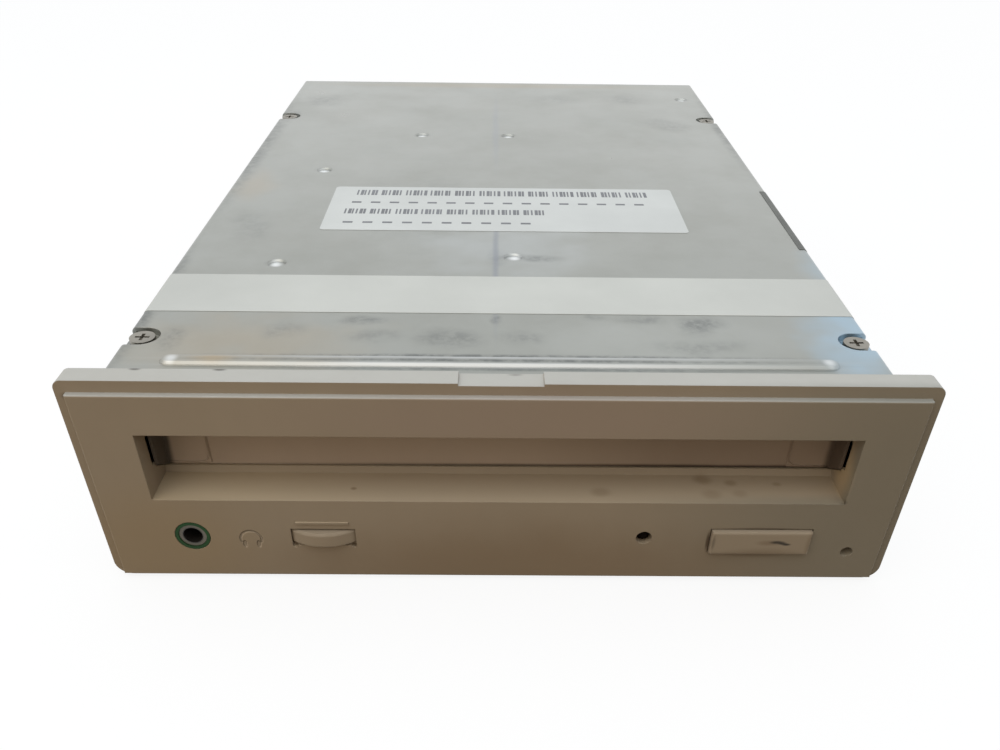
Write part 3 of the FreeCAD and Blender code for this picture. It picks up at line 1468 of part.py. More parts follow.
def make_clamp_spring():
    body = new_body("clamp_spring")
    half = size.clamp_spring_width / 2
    thick = size.clamp_spring_sheet
    low = clamp_sheet_high
    high = puck_cap_high + size.clamp_gap
    back = -clamp_reach / 3
    bend = back * 1.4
    knee = size.puck_cap_radius - clamp_reach
    pad(body, "YZ", -half, size.clamp_spring_width,
        outline((back, low), (back, low + thick), (bend, low + thick), (knee, high + thick),
                (-clamp_reach - half, high + thick), (-clamp_reach - half, high), (knee, high), (bend, low)))
    tilt(body)


# Optical deck

def make_optical_base():
    body = new_body("optical_base")
    holes = [circle(x, y, size.grommet_waist + size.grommet_gap) for x, y in deck_posts]
    belly = size.sled_belly_half + size.deck_opening_gap
    opening = (sled_front - size.deck_opening_gap / 2, deck_rear - size.rod_block_length - size.slide_gap)
    pad(body, "XY", size.deck_low, size.deck_thick,
        rectangle((-deck_half, deck_half), (deck_front, deck_rear)),
        rectangle((-belly, belly), opening), *holes)
    half = size.rod_block_half
    top = size.rod_height + half
    for start in (sled_front - size.rod_block_ahead, deck_rear - size.rod_block_length):
        blocks = pad(body, "XZ", start, size.rod_block_length,
                     rectangle((size.rod_across - half, size.rod_across + half),
                               (deck_top - size.overlap, top)),
                     circle(size.rod_across, size.rod_height, size.rod_radius))
        mirrored(body, [blocks])
    collar_top = size.sled_gear_low - size.slide_gap
    pad(body, "XY", deck_top - size.overlap, collar_top - deck_top + size.overlap,
        circle(sled_gear_x, sled_gear_y, size.gear_shaft_radius * 2))
    pad(body, "XY", collar_top, sled_gear_thick + size.slide_gap * 2,
        circle(sled_gear_x, sled_gear_y, size.gear_shaft_radius))


def make_deck_mounts():
    lip_low = size.deck_low - size.grommet_lip
    lip_high = deck_top + size.grommet_lip
    floor = size.chassis_sheet
    posts, grommets, screws = [], [], []
    for x, y in deck_posts:
        spot = (x, y)
        post = merge([rod("z", spot, floor, size.board_low - floor, size.post_foot_radius),
                      rod("z", spot, floor, lip_low - floor, size.post_radius),
                      rod("z", spot, floor, lip_high - floor, size.post_neck_radius)])
        thread = rod("z", spot, lip_high - size.deck_screw_length - 1, size.deck_screw_length + 2,
                     size.deck_screw_radius + size.gear_fit)
        posts.append(cut(post, [thread]))
        ring = merge([rod("z", spot, lip_low, size.grommet_lip, size.grommet_radius),
                      rod("z", spot, lip_low, lip_high - lip_low, size.grommet_waist),
                      rod("z", spot, deck_top, size.grommet_lip, size.grommet_radius)])
        hole = rod("z", spot, lip_low - 1, lip_high - lip_low + 2, size.post_neck_radius + size.grommet_gap)
        grommets.append(cut(ring, [hole]))
        screws.append(screw(x, y, lip_high, size.deck_head_radius, size.deck_head_height,
                            size.deck_screw_radius, size.deck_screw_length))
    keep(merge(posts), "deck_posts")
    keep(merge(grommets), "isolation_grommets")
    keep(merge(screws), "deck_screws")


def make_spindle():
    spot = (0.0, spindle_y)
    top = size.disc_seat + size.cone_height
    bore_top = top - size.turntable_skin
    shaft_top = bore_top - size.slide_gap
    keep(merge([rod("z", spot, deck_top, size.spindle_motor_height, size.spindle_motor_radius),
                rod("z", spot, deck_top, shaft_top - deck_top, size.spindle_radius)]), "spindle_motor")
    body = new_body("turntable")
    bore = size.spindle_radius + size.spindle_fit
    rim_low = size.disc_seat - size.turntable_rim
    hub_low = deck_top + size.spindle_motor_height + size.turntable_hub_gap
    hub = size.turntable_hub_radius
    revolve(body, outline((bore, hub_low), (hub, hub_low), (hub, rim_low), (size.turntable_radius, rim_low),
                          (size.turntable_radius, size.disc_seat), (size.disc_hole_radius, size.disc_seat),
                          (size.cone_top_radius, top), (0.0, top), (0.0, bore_top), (bore, bore_top)))
    place(body, 0.0, spindle_y, 0.0)


def make_sled():
    start = sled_front - size.rod_block_ahead
    keep(merge([rod("y", (side * size.rod_across, size.rod_height), start, deck_rear - start, size.rod_radius)
                for side in (-1, 1)]), "guide_rods")
    body = new_body("sled")
    half = size.sled_half
    pad(body, "XY", size.sled_low, size.sled_high - size.sled_low,
        rectangle((-half, half), (sled_front, sled_rear)))
    belly = size.sled_belly_half
    pad(body, "XY", size.sled_belly_low, size.sled_low - size.sled_belly_low,
        rectangle((-belly, belly), (sled_front + 1, sled_rear - 1)))
    pocket(body, "XZ", sled_front, sled_rear - sled_front,
           circle(-size.rod_across, size.rod_height, size.rod_radius + size.rod_fit),
           circle(size.rod_across, size.rod_height, size.rod_radius + size.rod_fit))
    well = size.lens_pocket_half
    pocket(body, "XY", size.sled_high - size.lens_pocket_depth, size.lens_pocket_depth,
           rectangle((-well, well), (sled_y - well, sled_y + well)))
    floor = size.sled_high - size.lens_pocket_depth - size.overlap
    pad(body, "XY", floor, size.lens_holder_high + size.lens_travel - floor,
        circle(0.0, focus_shaft_y, size.focus_shaft_radius))
    add_sled_rack(body, half)
    make_lens()


def make_lens():
    half = size.lens_holder_half
    low = size.lens_holder_low
    high = size.lens_holder_high
    lens = (0.0, sled_y)
    carrier = block((-half, half), (sled_y - half, sled_y + half), (low, high))
    well_hole = rod("z", lens, low - 1, high - low + 2, size.lens_radius - size.overlap)
    shaft_hole = rod("z", (0.0, focus_shaft_y), low - 1, high - low + 2, size.focus_shaft_radius + size.rod_fit)
    keep(cut(carrier, [well_hole, shaft_hole]), "lens_holder")
    dome = doc.addObject("Part::Ellipsoid", "Lens")
    bind(dome, Radius1=size.lens_rise, Radius2=size.lens_radius, Radius3=size.lens_radius)
    place(dome, 0.0, sled_y, high)
    below = rod("z", lens, high - size.lens_rise - 1, size.lens_rise + 1, size.lens_radius + 1)
    keep(cut(dome, [below]), "objective_lens")


def add_sled_rack(body, half):
    module = size.tooth_module
    pitch = module * math.pi
    base_x = size.sled_rack_line - module * size.dedendum
    tip_x = size.sled_rack_line + module * size.addendum
    last = sled_gear_y + pitch * 1.5
    pad(body, "XY", size.sled_gear_low, sled_gear_thick,
        rectangle((half - size.overlap, base_x),
                  (last - pitch * (size.sled_rack_teeth - 0.5), last + pitch / 2)))
    tooth = pad(body, "XY", size.sled_gear_low, sled_gear_thick,
                rack_tooth(base_x - size.overlap, tip_x, last, pitch))
    row = body.newObject("PartDesign::LinearPattern", "Rack_teeth")
    row.Originals = [tooth]
    row.Direction = (origin_part(body, "Y_Axis"), [""])
    row.Reversed = True
    row.setExpression("Length", (pitch * (size.sled_rack_teeth - 1)).text)
    row.setExpression("Occurrences", size.sled_rack_teeth.text)
    body.Tip = row


def make_sled_drive():
    gear = new_body("sled_gear")
    add_teeth(gear, size.sled_gear_low, sled_gear_thick, size.tooth_module, size.sled_gear_teeth,
              size.gear_shaft_radius + size.gear_fit)
    place(gear, sled_gear_x, sled_gear_y, 0.0)
    pinion = new_body("sled_pinion")
    add_teeth(pinion, size.sled_gear_low, sled_gear_thick, size.tooth_module, size.sled_pinion_teeth,
              size.motor_shaft_radius + size.gear_fit)
    turned(pinion, 180 / size.sled_pinion_teeth)
    place(pinion, sled_pinion_x, sled_gear_y, 0.0)
    spot = (sled_pinion_x, sled_gear_y)
    shaft_top = size.sled_gear_low + sled_gear_thick + size.slide_gap
    keep(merge([rod("z", spot, deck_top, size.sled_motor_height, size.sled_motor_radius),
                rod("z", spot, deck_top, shaft_top - deck_top, size.motor_shaft_radius)]), "sled_motor")


# Electronics

def make_boards():
    half = body_half - size.front_board_inset
    start = front + size.front_board_back
    keep(block((-half, half), (start, start + size.front_board_length),
               (size.front_board_low, front_board_top)), "front_board")
    board = block((-board_half, board_half), (board_front, board_rear), (size.board_low, board_top))
    gap = size.board_hole_gap
    places = [(spot, size.post_radius + gap) for spot in deck_posts]
    places += [(spot, size.plate_post_radius + gap) for spot in plate_posts]
    places += [((0.0, lever_y), size.lever_pin_radius * 2 + gap)]
    places += [(spot, size.board_screw_radius + size.gear_fit) for spot in board_posts]
    holes = [rod("z", spot, size.board_low - 1, size.board_thick + 2, radius) for spot, radius in places]
    keep(cut(board, holes), "main_board")
    add_board_fixings()
    add_board_parts()


def add_board_fixings():
    floor = size.chassis_sheet
    thread = size.board_screw_radius + size.gear_fit
    stands = [cut(rod("z", spot, floor, size.board_low - floor, size.standoff_radius),
                  [rod("z", spot, floor + size.overlap, size.board_low, thread)]) for spot in board_posts]
    stands += [rod("z", spot, floor, size.front_board_low - floor, size.standoff_radius)
               for spot in front_posts]
    keep(merge(stands), "board_standoffs")
    length = board_top - floor - size.overlap * 2
    keep(merge([screw(x, y, board_top, size.board_head_radius, size.cover_head_height,
                      size.board_screw_radius, length) for x, y in board_posts]), "board_screws")


def add_board_parts():
    chips = []
    for across, along, length, width in CHIPS:
        x = board_half * across
        y = board_front + board_length * along
        chips.append(block((x, x + length), (y, y + width), (board_top, board_top + size.chip_height)))
    keep(merge(chips), "board_chips")
    cans = [rod("z", (board_half * across, board_front + board_length * along), board_top,
                size.capacitor_height, size.capacitor_radius) for across, along in CAPACITORS]
    keep(merge(cans), "board_capacitors")


def connector_shell(left, width, height, depth, wall, cavity):
    """A box open to the rear, on the board and just inside the rear wall."""
    low = board_top
    case = block((left, left + width), (connector_rear - depth, connector_rear), (low, low + height))
    inside = block((left + wall, left + width - wall), (connector_rear - cavity, connector_rear + 1),
                   (low + wall, low + height - wall))
    return case, inside


def square_pin(x, z, start, end):
    half = size.pin_width / 2
    return block((x - half, x + half), (start, end), (z - half, z + half))


def pin_rows(first, low, columns, rows, start, end):
    pitch = size.pin_pitch_small
    return [square_pin(first + pitch * column, low + pitch * row, start, end)
            for column in range(columns) for row in range(rows)]


def make_connectors():
    pitch = size.pin_pitch_small
    pins_end = connector_rear - size.pin_inset
    wall = size.header_wall
    roof = board_top + size.header_height
    case, inside = connector_shell(header_left, header_length, size.header_height, size.header_depth,
                                   wall, size.header_cavity)
    middle = header_left + header_length / 2
    start = connector_rear - size.header_cavity
    key = block((middle - size.header_key / 2, middle + size.header_key / 2), (start, connector_rear + 1),
                (roof - wall - 1, roof + 1))
    keep(cut(case, [inside, key]), "scsi_header")
    pins = pin_rows(middle - pitch * (size.header_columns - 1) / 2,
                    board_top + (size.header_height - pitch) / 2,
                    SIZES["header_columns"], SIZES["header_rows"], start, pins_end)
    audio_cavity = size.audio_depth - wall
    case, inside = connector_shell(audio_left, size.audio_width, size.audio_height, size.audio_depth,
                                   size.audio_wall, audio_cavity)
    keep(cut(case, [inside]), "audio_connector")
    pins += pin_rows(audio_left + (size.audio_width - pitch * (size.audio_pins - 1)) / 2,
                     board_top + size.audio_height / 2, SIZES["audio_pins"], 1,
                     connector_rear - audio_cavity, pins_end)
    block_rear = pins_end - size.jumper_pin_length
    keep(block((jumper_left, jumper_left + size.jumper_pairs * pitch), (block_rear - pitch, block_rear),
               (board_top, board_top + size.header_rows * pitch)), "jumper_block")
    pins += pin_rows(jumper_left + pitch / 2, board_top + pitch / 2,
                     SIZES["jumper_pairs"], SIZES["header_rows"], block_rear, pins_end)
    keep(merge(pins), "header_pins")


def make_power_connector():
    wall = size.header_wall
    left = power_left
    right = left + size.power_width
    low = board_top
    high = low + size.power_height
    slope = size.power_corner
    start = connector_rear - size.power_depth
    cavity = start + wall * 1.5
    body = new_body("power_connector")
    pad(body, "XZ", start, size.power_depth, rectangle((left, right), (low, high)))
    pocket(body, "XZ", cavity, connector_rear - cavity,
           outline((left + wall, low + wall), (right - wall, low + wall), (right - wall, high - wall - slope),
                   (right - wall - slope, high - wall), (left + wall + slope, high - wall),
                   (left + wall, high - wall - slope)))
    first = left + (size.power_width - size.power_pitch * (size.power_pins - 1)) / 2
    pins = [rod("y", (first + size.power_pitch * number, low + size.power_height / 2), cavity,
                connector_rear - size.pin_inset - cavity, size.power_pin_radius)
            for number in range(SIZES["power_pins"])]
    keep(merge(pins), "power_pins")


make_chassis()
make_top_cover()
make_cover_screws()
make_front_bezel()
make_dust_door()
make_door_spring()
make_eject_button()
make_eject_switch()
make_volume_wheel()
make_headphone_jack()
make_busy_led()
make_caddy_holder()
make_loader_frame()
make_cam_slides()
make_sync_lever()
make_main_gear()
make_gear_pulley()
make_motor_pulley()
make_drive_belt()
make_gear_plate()
make_clamp_arm()
make_clamp_puck()
make_clamp_spring()
make_optical_base()
make_deck_mounts()
make_spindle()
make_sled()
make_sled_drive()
make_boards()
make_connectors()
make_power_connector()

doc.recompute()
for item in doc.Objects:
    if "Invalid" in item.State or "Error" in item.State:
        raise RuntimeError(f"{item.Label} did not recompute")
for node in nodes:
    if node.Shape.isNull() or not node.Shape.isValid():
        raise RuntimeError(f"{node.Label} has no sound shape")
os.makedirs("parts", exist_ok=True)
for node in nodes:
    node.Shape.exportStep(f"parts/{node.Label}.step")
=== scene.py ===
import math

import bmesh
import bpy
from mathutils import Matrix, Vector


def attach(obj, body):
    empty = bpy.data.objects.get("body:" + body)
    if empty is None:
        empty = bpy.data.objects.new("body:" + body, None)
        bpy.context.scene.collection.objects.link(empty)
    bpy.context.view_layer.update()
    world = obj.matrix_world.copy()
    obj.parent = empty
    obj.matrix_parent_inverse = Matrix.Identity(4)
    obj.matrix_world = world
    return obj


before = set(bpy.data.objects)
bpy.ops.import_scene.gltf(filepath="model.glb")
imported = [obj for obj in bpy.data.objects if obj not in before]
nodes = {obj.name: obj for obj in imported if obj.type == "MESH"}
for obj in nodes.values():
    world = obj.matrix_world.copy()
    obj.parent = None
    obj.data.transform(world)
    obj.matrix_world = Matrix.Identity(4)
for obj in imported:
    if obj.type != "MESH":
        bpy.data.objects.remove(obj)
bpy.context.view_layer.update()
MM = 0.001


# Camera, at the photograph's viewing angle

LENS_MM = 31.46
CAMERA_PLACE = Vector((-1.55, -217.3, 116.6)) * MM
PITCH_DOWN = math.radians(38.71)
TURN = math.radians(0.74)
ROLL = math.radians(-0.83)
SHIFT_UP = 0.135


def make_camera():
    forward = Vector((math.sin(TURN) * math.cos(PITCH_DOWN), math.cos(TURN) * math.cos(PITCH_DOWN),
                      -math.sin(PITCH_DOWN)))
    level = Vector((math.cos(TURN), -math.sin(TURN), 0))
    down = forward.cross(level)
    right = level * math.cos(ROLL) + down * math.sin(ROLL)
    up = level * math.sin(ROLL) - down * math.cos(ROLL)
    data = bpy.data.cameras.new("camera")
    data.lens = LENS_MM
    data.sensor_width = 36
    data.sensor_fit = "HORIZONTAL"
    data.shift_y = SHIFT_UP
    data.clip_start = 0.01
    camera = bpy.data.objects.new("camera", data)
    bpy.context.scene.collection.objects.link(camera)
    columns = Matrix((right, up, -forward)).transposed()
    camera.matrix_world = Matrix.Translation(CAMERA_PLACE) @ columns.to_4x4()
    bpy.context.scene.camera = camera


# Materials

def srgb(red, green, blue):
    """A colour written as screen values from 0 to 255, turned into linear light."""
    def line(value):
        value /= 255
        return value / 12.92 if value <= 0.04045 else ((value + 0.055) / 1.055) ** 2.4
    return (line(red), line(green), line(blue), 1)


def shade(colour, factor):
    return (*(min(1, channel * factor) for channel in colour[:3]), 1)


# Sockets of a colour's mix node, which has others of the same names for its other kinds of data
FACTOR_IN, FIRST_COLOUR_IN, SECOND_COLOUR_IN, COLOUR_OUT = 0, 6, 7, 2


class Nodes:
    """Shader nodes made and joined in one tree. A value is a socket to link from, or a constant."""

    def __init__(self, tree):
        self.tree = tree

    def node(self, kind, **settings):
        made = self.tree.nodes.new(kind)
        for name, value in settings.items():
            setattr(made, name, value)
        return made

    def link(self, out, into):
        self.tree.links.new(out, into)

    def give(self, value, socket):
        if hasattr(value, "is_output"):
            self.link(value, socket)
        else:
            socket.default_value = value

    def maths(self, operation, first, second=0.0, clamp=False):
        made = self.node("ShaderNodeMath", operation=operation, use_clamp=clamp)
        self.give(first, made.inputs[0])
        self.give(second, made.inputs[1])
        return made.outputs["Value"]

    def vectors(self, operation, first, second, result="Vector"):
        made = self.node("ShaderNodeVectorMath", operation=operation)
        self.give(first, made.inputs[0])
        self.give(second, made.inputs[1])
        return made.outputs[result]

    def remap(self, value, low, high, to_low=0.0, to_high=1.0, kind="LINEAR"):
        """The value with the range from low to high brought to the other range, and held within it."""
        made = self.node("ShaderNodeMapRange", interpolation_type=kind)
        for name, number in (("From Min", low), ("From Max", high), ("To Min", to_low), ("To Max", to_high)):
            made.inputs[name].default_value = number
        self.link(value, made.inputs["Value"])
        return made.outputs["Result"]

    def along(self, vector, axis):
        split = self.node("ShaderNodeSeparateXYZ")
        self.link(vector, split.inputs["Vector"])
        return split.outputs[axis]

    def mix(self, fac, first, second, blend="MIX"):
        made = self.node("ShaderNodeMix", data_type="RGBA", blend_type=blend)
        for value, socket in ((fac, FACTOR_IN), (first, FIRST_COLOUR_IN), (second, SECOND_COLOUR_IN)):
            self.give(value, made.inputs[socket])
        return made.outputs[COLOUR_OUT]

    def seen_directly(self):
        """1 for rays of the camera, reflections and clear materials, and 0 for the light on the object."""
        path = self.node("ShaderNodeLightPath").outputs
        whole = path["Is Camera Ray"]
        for name in ("Is Glossy Ray", "Is Transmission Ray"):
            whole = self.maths("MAXIMUM", whole, path[name])
        return whole


# How finely the edges of patches wobble
WOBBLE_PER_METRE = 90


class Surface(Nodes):
    """A Principled material that is built up node by node."""

    def __init__(self, name, rough, metal=0.0, specular=0.5):
        self.material = bpy.data.materials.new(name)
        self.material.use_nodes = True
        super().__init__(self.material.node_tree)
        self.shader = self.tree.nodes["Principled BSDF"]
        self.shader.inputs["Metallic"].default_value = metal
        self.shader.inputs["Roughness"].default_value = rough
        self.shader.inputs["Specular IOR Level"].default_value = specular
        self.place = self.node("ShaderNodeTexCoord").outputs["Object"]

    def stretched(self, scale):
        mapping = self.node("ShaderNodeMapping")
        mapping.inputs["Scale"].default_value = scale
        self.link(self.place, mapping.inputs["Vector"])
        return mapping.outputs["Vector"]

    def noise(self, per_metre, detail=3.0, stretch=(1, 1, 1), rough=0.5):
        made = self.node("ShaderNodeTexNoise")
        made.inputs["Scale"].default_value = per_metre
        made.inputs["Detail"].default_value = detail
        made.inputs["Roughness"].default_value = rough
        self.link(self.stretched(stretch), made.inputs["Vector"])
        return made.outputs["Fac"]

    def ramp(self, fac, low, high, start=0.35, end=0.65):
        made = self.node("ShaderNodeValToRGB")
        made.color_ramp.elements[0].position = start
        made.color_ramp.elements[0].color = low
        made.color_ramp.elements[1].position = end
        made.color_ramp.elements[1].color = high
        self.link(fac, made.inputs["Fac"])
        return made.outputs["Color"]

    def spot(self, centre, radius, soft=0.5, stretch=(1, 1, 1), wobble=0.0):
        """A round or oval patch: 1 inside, and fading to 0 at an edge that can wobble. All in millimetres."""
        place = self.place
        if wobble:
            noise = self.node("ShaderNodeTexNoise")
            noise.inputs["Scale"].default_value = WOBBLE_PER_METRE
            self.link(self.place, noise.inputs["Vector"])
            shift = self.node("ShaderNodeVectorMath", operation="MULTIPLY_ADD")
            self.link(noise.outputs["Color"], shift.inputs[0])
            shift.inputs[1].default_value = (wobble * MM,) * 3
            self.link(self.place, shift.inputs[2])
            place = shift.outputs["Vector"]
        away = self.vectors("SUBTRACT", place, (Vector(centre) + Vector((wobble,) * 3) / 2) * MM)
        sized = self.vectors("MULTIPLY", away, [1 / (radius * MM * part) for part in stretch])
        length = self.vectors("LENGTH", sized, (0, 0, 0), "Value")
        return self.remap(length, 1, 1 - soft, kind="SMOOTHSTEP")

    def colour(self, value):
        self.link(value, self.shader.inputs["Base Color"])

    def roughness(self, fac, low, high):
        self.link(self.remap(fac, 0, 1, low, high), self.shader.inputs["Roughness"])

    def bump(self, *layers, edge=0.0):
        """Fine relief from pairs of height pattern and depth in millimetres, over softly rounded edges."""
        normal = None
        if edge:
            bevel = self.node("ShaderNodeBevel", samples=4)
            bevel.inputs["Radius"].default_value = edge * MM
            normal = bevel.outputs["Normal"]
        for height, depth in layers:
            made = self.node("ShaderNodeBump")
            made.inputs["Strength"].default_value = 1
            made.inputs["Distance"].default_value = depth * MM
            self.link(height, made.inputs["Height"])
            if normal:
                self.link(normal, made.inputs["Normal"])
            normal = made.outputs["Normal"]
        self.link(normal, self.shader.inputs["Normal"])


PLASTIC = srgb(182, 181, 175)
# Painted shade: the plastic's colour on its upright faces, darker and warmer than on its top
SHADED_UPRIGHT = srgb(166, 152, 133)
STEEL = srgb(176, 179, 175)
TAN = srgb(176, 156, 124)
SHEEN = srgb(164, 190, 208)
# Smudges of dirt, and painted shade and dark reflections round the dimples and along the rib
SMEAR_AND_SHADE = srgb(104, 108, 108)
# Dark specks of dirt and the button's worn streak, and painted shade at the door's ends and the button's left
# end
SOOT_AND_SHADE = srgb(60, 56, 50)
# A painted highlight, on the rib's ends and in the dimples
GLINT = srgb(240, 243, 244)
# A painted highlight along the rib
RIB_HIGHLIGHT = srgb(188, 191, 192)
STAIN = srgb(104, 80, 52)
GAP_SHADE = srgb(58, 40, 22)
BUTTON_SHADE = srgb(116, 98, 76)

# Places in the model, in millimetres. Marks on the panel are centred on PANEL_FACE, just behind its front.
COVER_TOP = 41.4
COVER_HALF = 68.11
LABEL_TOP = COVER_TOP + 0.06
PANEL_FRONT = -92.425
PANEL_FACE = -92.4
PAD_FRONT = -83.325
DOOR_FRONT = -83
BUTTON_FRONT = -93.4
MOUTH_FLOOR = 18.3
SIDE_TOP = 42.3
SEAM = -0.9
RIB = -82.6

# The cover's pressed dimples
DIMPLES = [(-46.3, 20.5), (-47.1, -40.5), (2.8, -36.2), (-22.7, 53.3), (2.7, 53.3), (61.0, 97.0)]

# Marks: centre, radius, stretch, strength and tint. The cover's are cloudy dirt and lighter patches, painted
# highlights on rib and dimples, painted shade and dark reflections beside them, a painted bluish reflection
# at the front right, and the dark seam.
COVER_MARKS = [
    ((-62, 8, COVER_TOP), 16, (0.5, 1, 1), 0.25, TAN),
    ((-0.5, -37, COVER_TOP), 6, (0.5, 1.1, 1), 0.5, SMEAR_AND_SHADE),
    ((-48, -76, COVER_TOP), 34, (1, 0.5, 1), 0.3, TAN),
    ((-67.5, 40, COVER_TOP), 70, (0.07, 1, 1), 0.7, SMEAR_AND_SHADE),
    ((-67.5, -60, COVER_TOP), 40, (0.08, 1, 1), 0.8, SMEAR_AND_SHADE),
    ((67.5, 60, COVER_TOP), 55, (0.06, 1, 1), 0.6, SMEAR_AND_SHADE),
    ((-58, 92, COVER_TOP), 14, (0.8, 0.6, 1), 0.35, SMEAR_AND_SHADE),
    ((-20, -8, COVER_TOP), 26, (1, 1.4, 1), 0.16, SMEAR_AND_SHADE),
    ((1, -31, COVER_TOP), 26, (1, 0.8, 1), 0.28, srgb(204, 211, 216)),
    ((26, -74, COVER_TOP), 34, (1, 0.4, 1), 0.2, srgb(204, 208, 206)),
    ((-40, -70, COVER_TOP), 6, (1, 0.9, 1), 0.35, SMEAR_AND_SHADE),
    ((-26, -66.5, COVER_TOP), 4.6, (1.4, 0.6, 1), 0.6, SMEAR_AND_SHADE),
    ((-23, -73, COVER_TOP), 6, (1.3, 0.6, 1), 0.35, SMEAR_AND_SHADE),
    ((-9, -73.5, COVER_TOP), 7, (1.2, 0.8, 1), 0.55, SMEAR_AND_SHADE),
    ((4, -73, COVER_TOP), 5, (1.2, 0.8, 1), 0.4, SMEAR_AND_SHADE),
    ((-0.8, -66, COVER_TOP), 2.6, (0.6, 1, 1), 0.7, SMEAR_AND_SHADE),
    ((18, -65, COVER_TOP), 3, (1.2, 0.8, 1), 0.4, SMEAR_AND_SHADE),
    ((27, -65.5, COVER_TOP), 4.4, (1.6, 0.6, 1), 0.45, SMEAR_AND_SHADE),
    ((38, -68, COVER_TOP), 6, (1, 0.9, 1), 0.75, SMEAR_AND_SHADE),
    ((36, -76, COVER_TOP), 9, (1.4, 0.4, 1), 0.35, SMEAR_AND_SHADE),
    ((-60, -74, COVER_TOP), 5, (0.8, 1.2, 1), 0.5, SMEAR_AND_SHADE),
    ((7.5, -37, COVER_TOP), 6.5, (1.2, 0.4, 1), 0.55, SMEAR_AND_SHADE),
    ((66, -72, COVER_TOP), 20, (0.8, 1.2, 1), 0.85, SHEEN),
    ((68, -42, COVER_TOP), 12, (0.5, 1.6, 1), 0.35, SHEEN),
    ((-50, RIB, COVER_TOP + 0.6), 5, (1.2, 0.4, 1), 0.6, TAN),
    ((-64, 74, COVER_TOP), 6, (0.6, 1.2, 1), 0.45, SMEAR_AND_SHADE),
    ((-57, -20, COVER_TOP), 10, (0.7, 1.4, 1), 0.3, SMEAR_AND_SHADE),
    ((52, 66, COVER_TOP), 9, (1.2, 1, 1), 0.35, SMEAR_AND_SHADE),
    ((20, 96, COVER_TOP), 8, (1.2, 1, 1), 0.25, SMEAR_AND_SHADE),
    ((42, 96, COVER_TOP), 9, (1.2, 1, 1), 0.35, SMEAR_AND_SHADE),
    ((0, 113, COVER_TOP), 80, (1, 0.06, 1), 0.3, TAN),
    # The rib: painted highlights along its top, with painted dark reflections at its feet and between the
    # highlights
    ((0, RIB + 2.4, COVER_TOP), 66, (1, 0.016, 1), 0.85, SMEAR_AND_SHADE),
    ((0, RIB - 2.3, COVER_TOP), 66, (1, 0.012, 1), 0.6, SMEAR_AND_SHADE),
    ((0, RIB + 1, COVER_TOP), 74, (1, 0.013, 1), 0.9, RIB_HIGHLIGHT),
    ((0, RIB - 1.4, COVER_TOP), 74, (1, 0.011, 1), 0.7, RIB_HIGHLIGHT),
    ((0, RIB - 0.2, COVER_TOP), 74, (1, 0.011, 1), 0.9, SMEAR_AND_SHADE),
    # Painted highlights on the rib's two ends
    *(((side * 57.4, RIB, COVER_TOP + 0.5), 2.0, (0.8, 1, 1), 0.6, GLINT) for side in (-1, 1)),
    # Painted shade round each dimple, and a painted highlight in it
    *(((x, y, COVER_TOP), 2.9, (1.1, 0.9, 1), 0.5, SMEAR_AND_SHADE) for x, y in DIMPLES),
    *(((x, y, COVER_TOP - 0.4), 2.0, (1, 1, 1), 1.0, GLINT) for x, y in DIMPLES),
    ((SEAM, -36, COVER_TOP), 46, (0.022, 1, 1), 0.55, srgb(134, 140, 152)),
    ((SEAM, 60, COVER_TOP), 50, (0.03, 1, 1), 0.3, srgb(150, 156, 168)),
]

# The bezel's: specks on its top edge, stains on the sill, painted shade on its face and round the button, and
# painted light on its mouth's right wall
BEZEL_MARKS = [
    ((-61.8, -87.2, SIDE_TOP), 1.0, (1.4, 0.7, 1), 0.8, SOOT_AND_SHADE),
    ((-47.6, -87.2, SIDE_TOP), 1.1, (1.5, 0.6, 1), 0.8, SOOT_AND_SHADE),
    ((2.4, -87.4, SIDE_TOP), 1.2, (1.6, 0.5, 1), 0.5, SOOT_AND_SHADE),
    ((-72.5, -91, SIDE_TOP - 3), 1.4, (1, 1, 0.8), 0.5, SOOT_AND_SHADE),
    *(((x, y, MOUTH_FLOOR), radius, (1.2, 0.9, 1), strength, STAIN) for x, y, radius, strength in
      ((38.4, -85.2, 2.2, 0.36), (43.5, -86.1, 1.5, 0.32), (39.1, -89.6, 2.2, 0.22), (44.6, -89.3, 1.8, 0.2),
       (18.7, -89.2, 2.2, 0.25), (-27, -88.6, 0.7, 0.5), (52, -86.4, 1.0, 0.3))),
    ((0, -93.8, -0.9), 90, (1, 0.02, 0.02), 0.35, srgb(120, 90, 62)),
    ((78, PANEL_FACE, 18), 66, (1, 0.06, 1), 0.45, srgb(106, 108, 98)),
    ((-64, PANEL_FACE, 6), 26, (1, 0.15, 0.8), 0.4, srgb(158, 136, 102)),
    ((4, PANEL_FACE, 1), 66, (1, 1, 0.26), 0.5, srgb(126, 104, 78)),
    ((39.3, PANEL_FACE, 9.4), 3.3, (0.16, 1, 1), 0.75, GAP_SHADE),
    ((49, PANEL_FACE, 12.25), 10.5, (1, 1, 0.05), 0.6, GAP_SHADE),
    ((49, PANEL_FACE, 6.2), 10, (1, 1, 0.12), 0.3, srgb(96, 74, 52)),
    ((62.5, PANEL_FACE, 18.6), 1.0, (1, 1, 0.7), 0.6, SOOT_AND_SHADE),
    # A painted pool of light on the right wall of the mouth
    ((63, -88, 23), 8, (0.12, 0.7, 1), 0.6, srgb(206, 182, 142)),
    ((6, PANEL_FACE, 36), 62, (1, 0.06, 0.14), 0.35, srgb(160, 140, 130)),
]

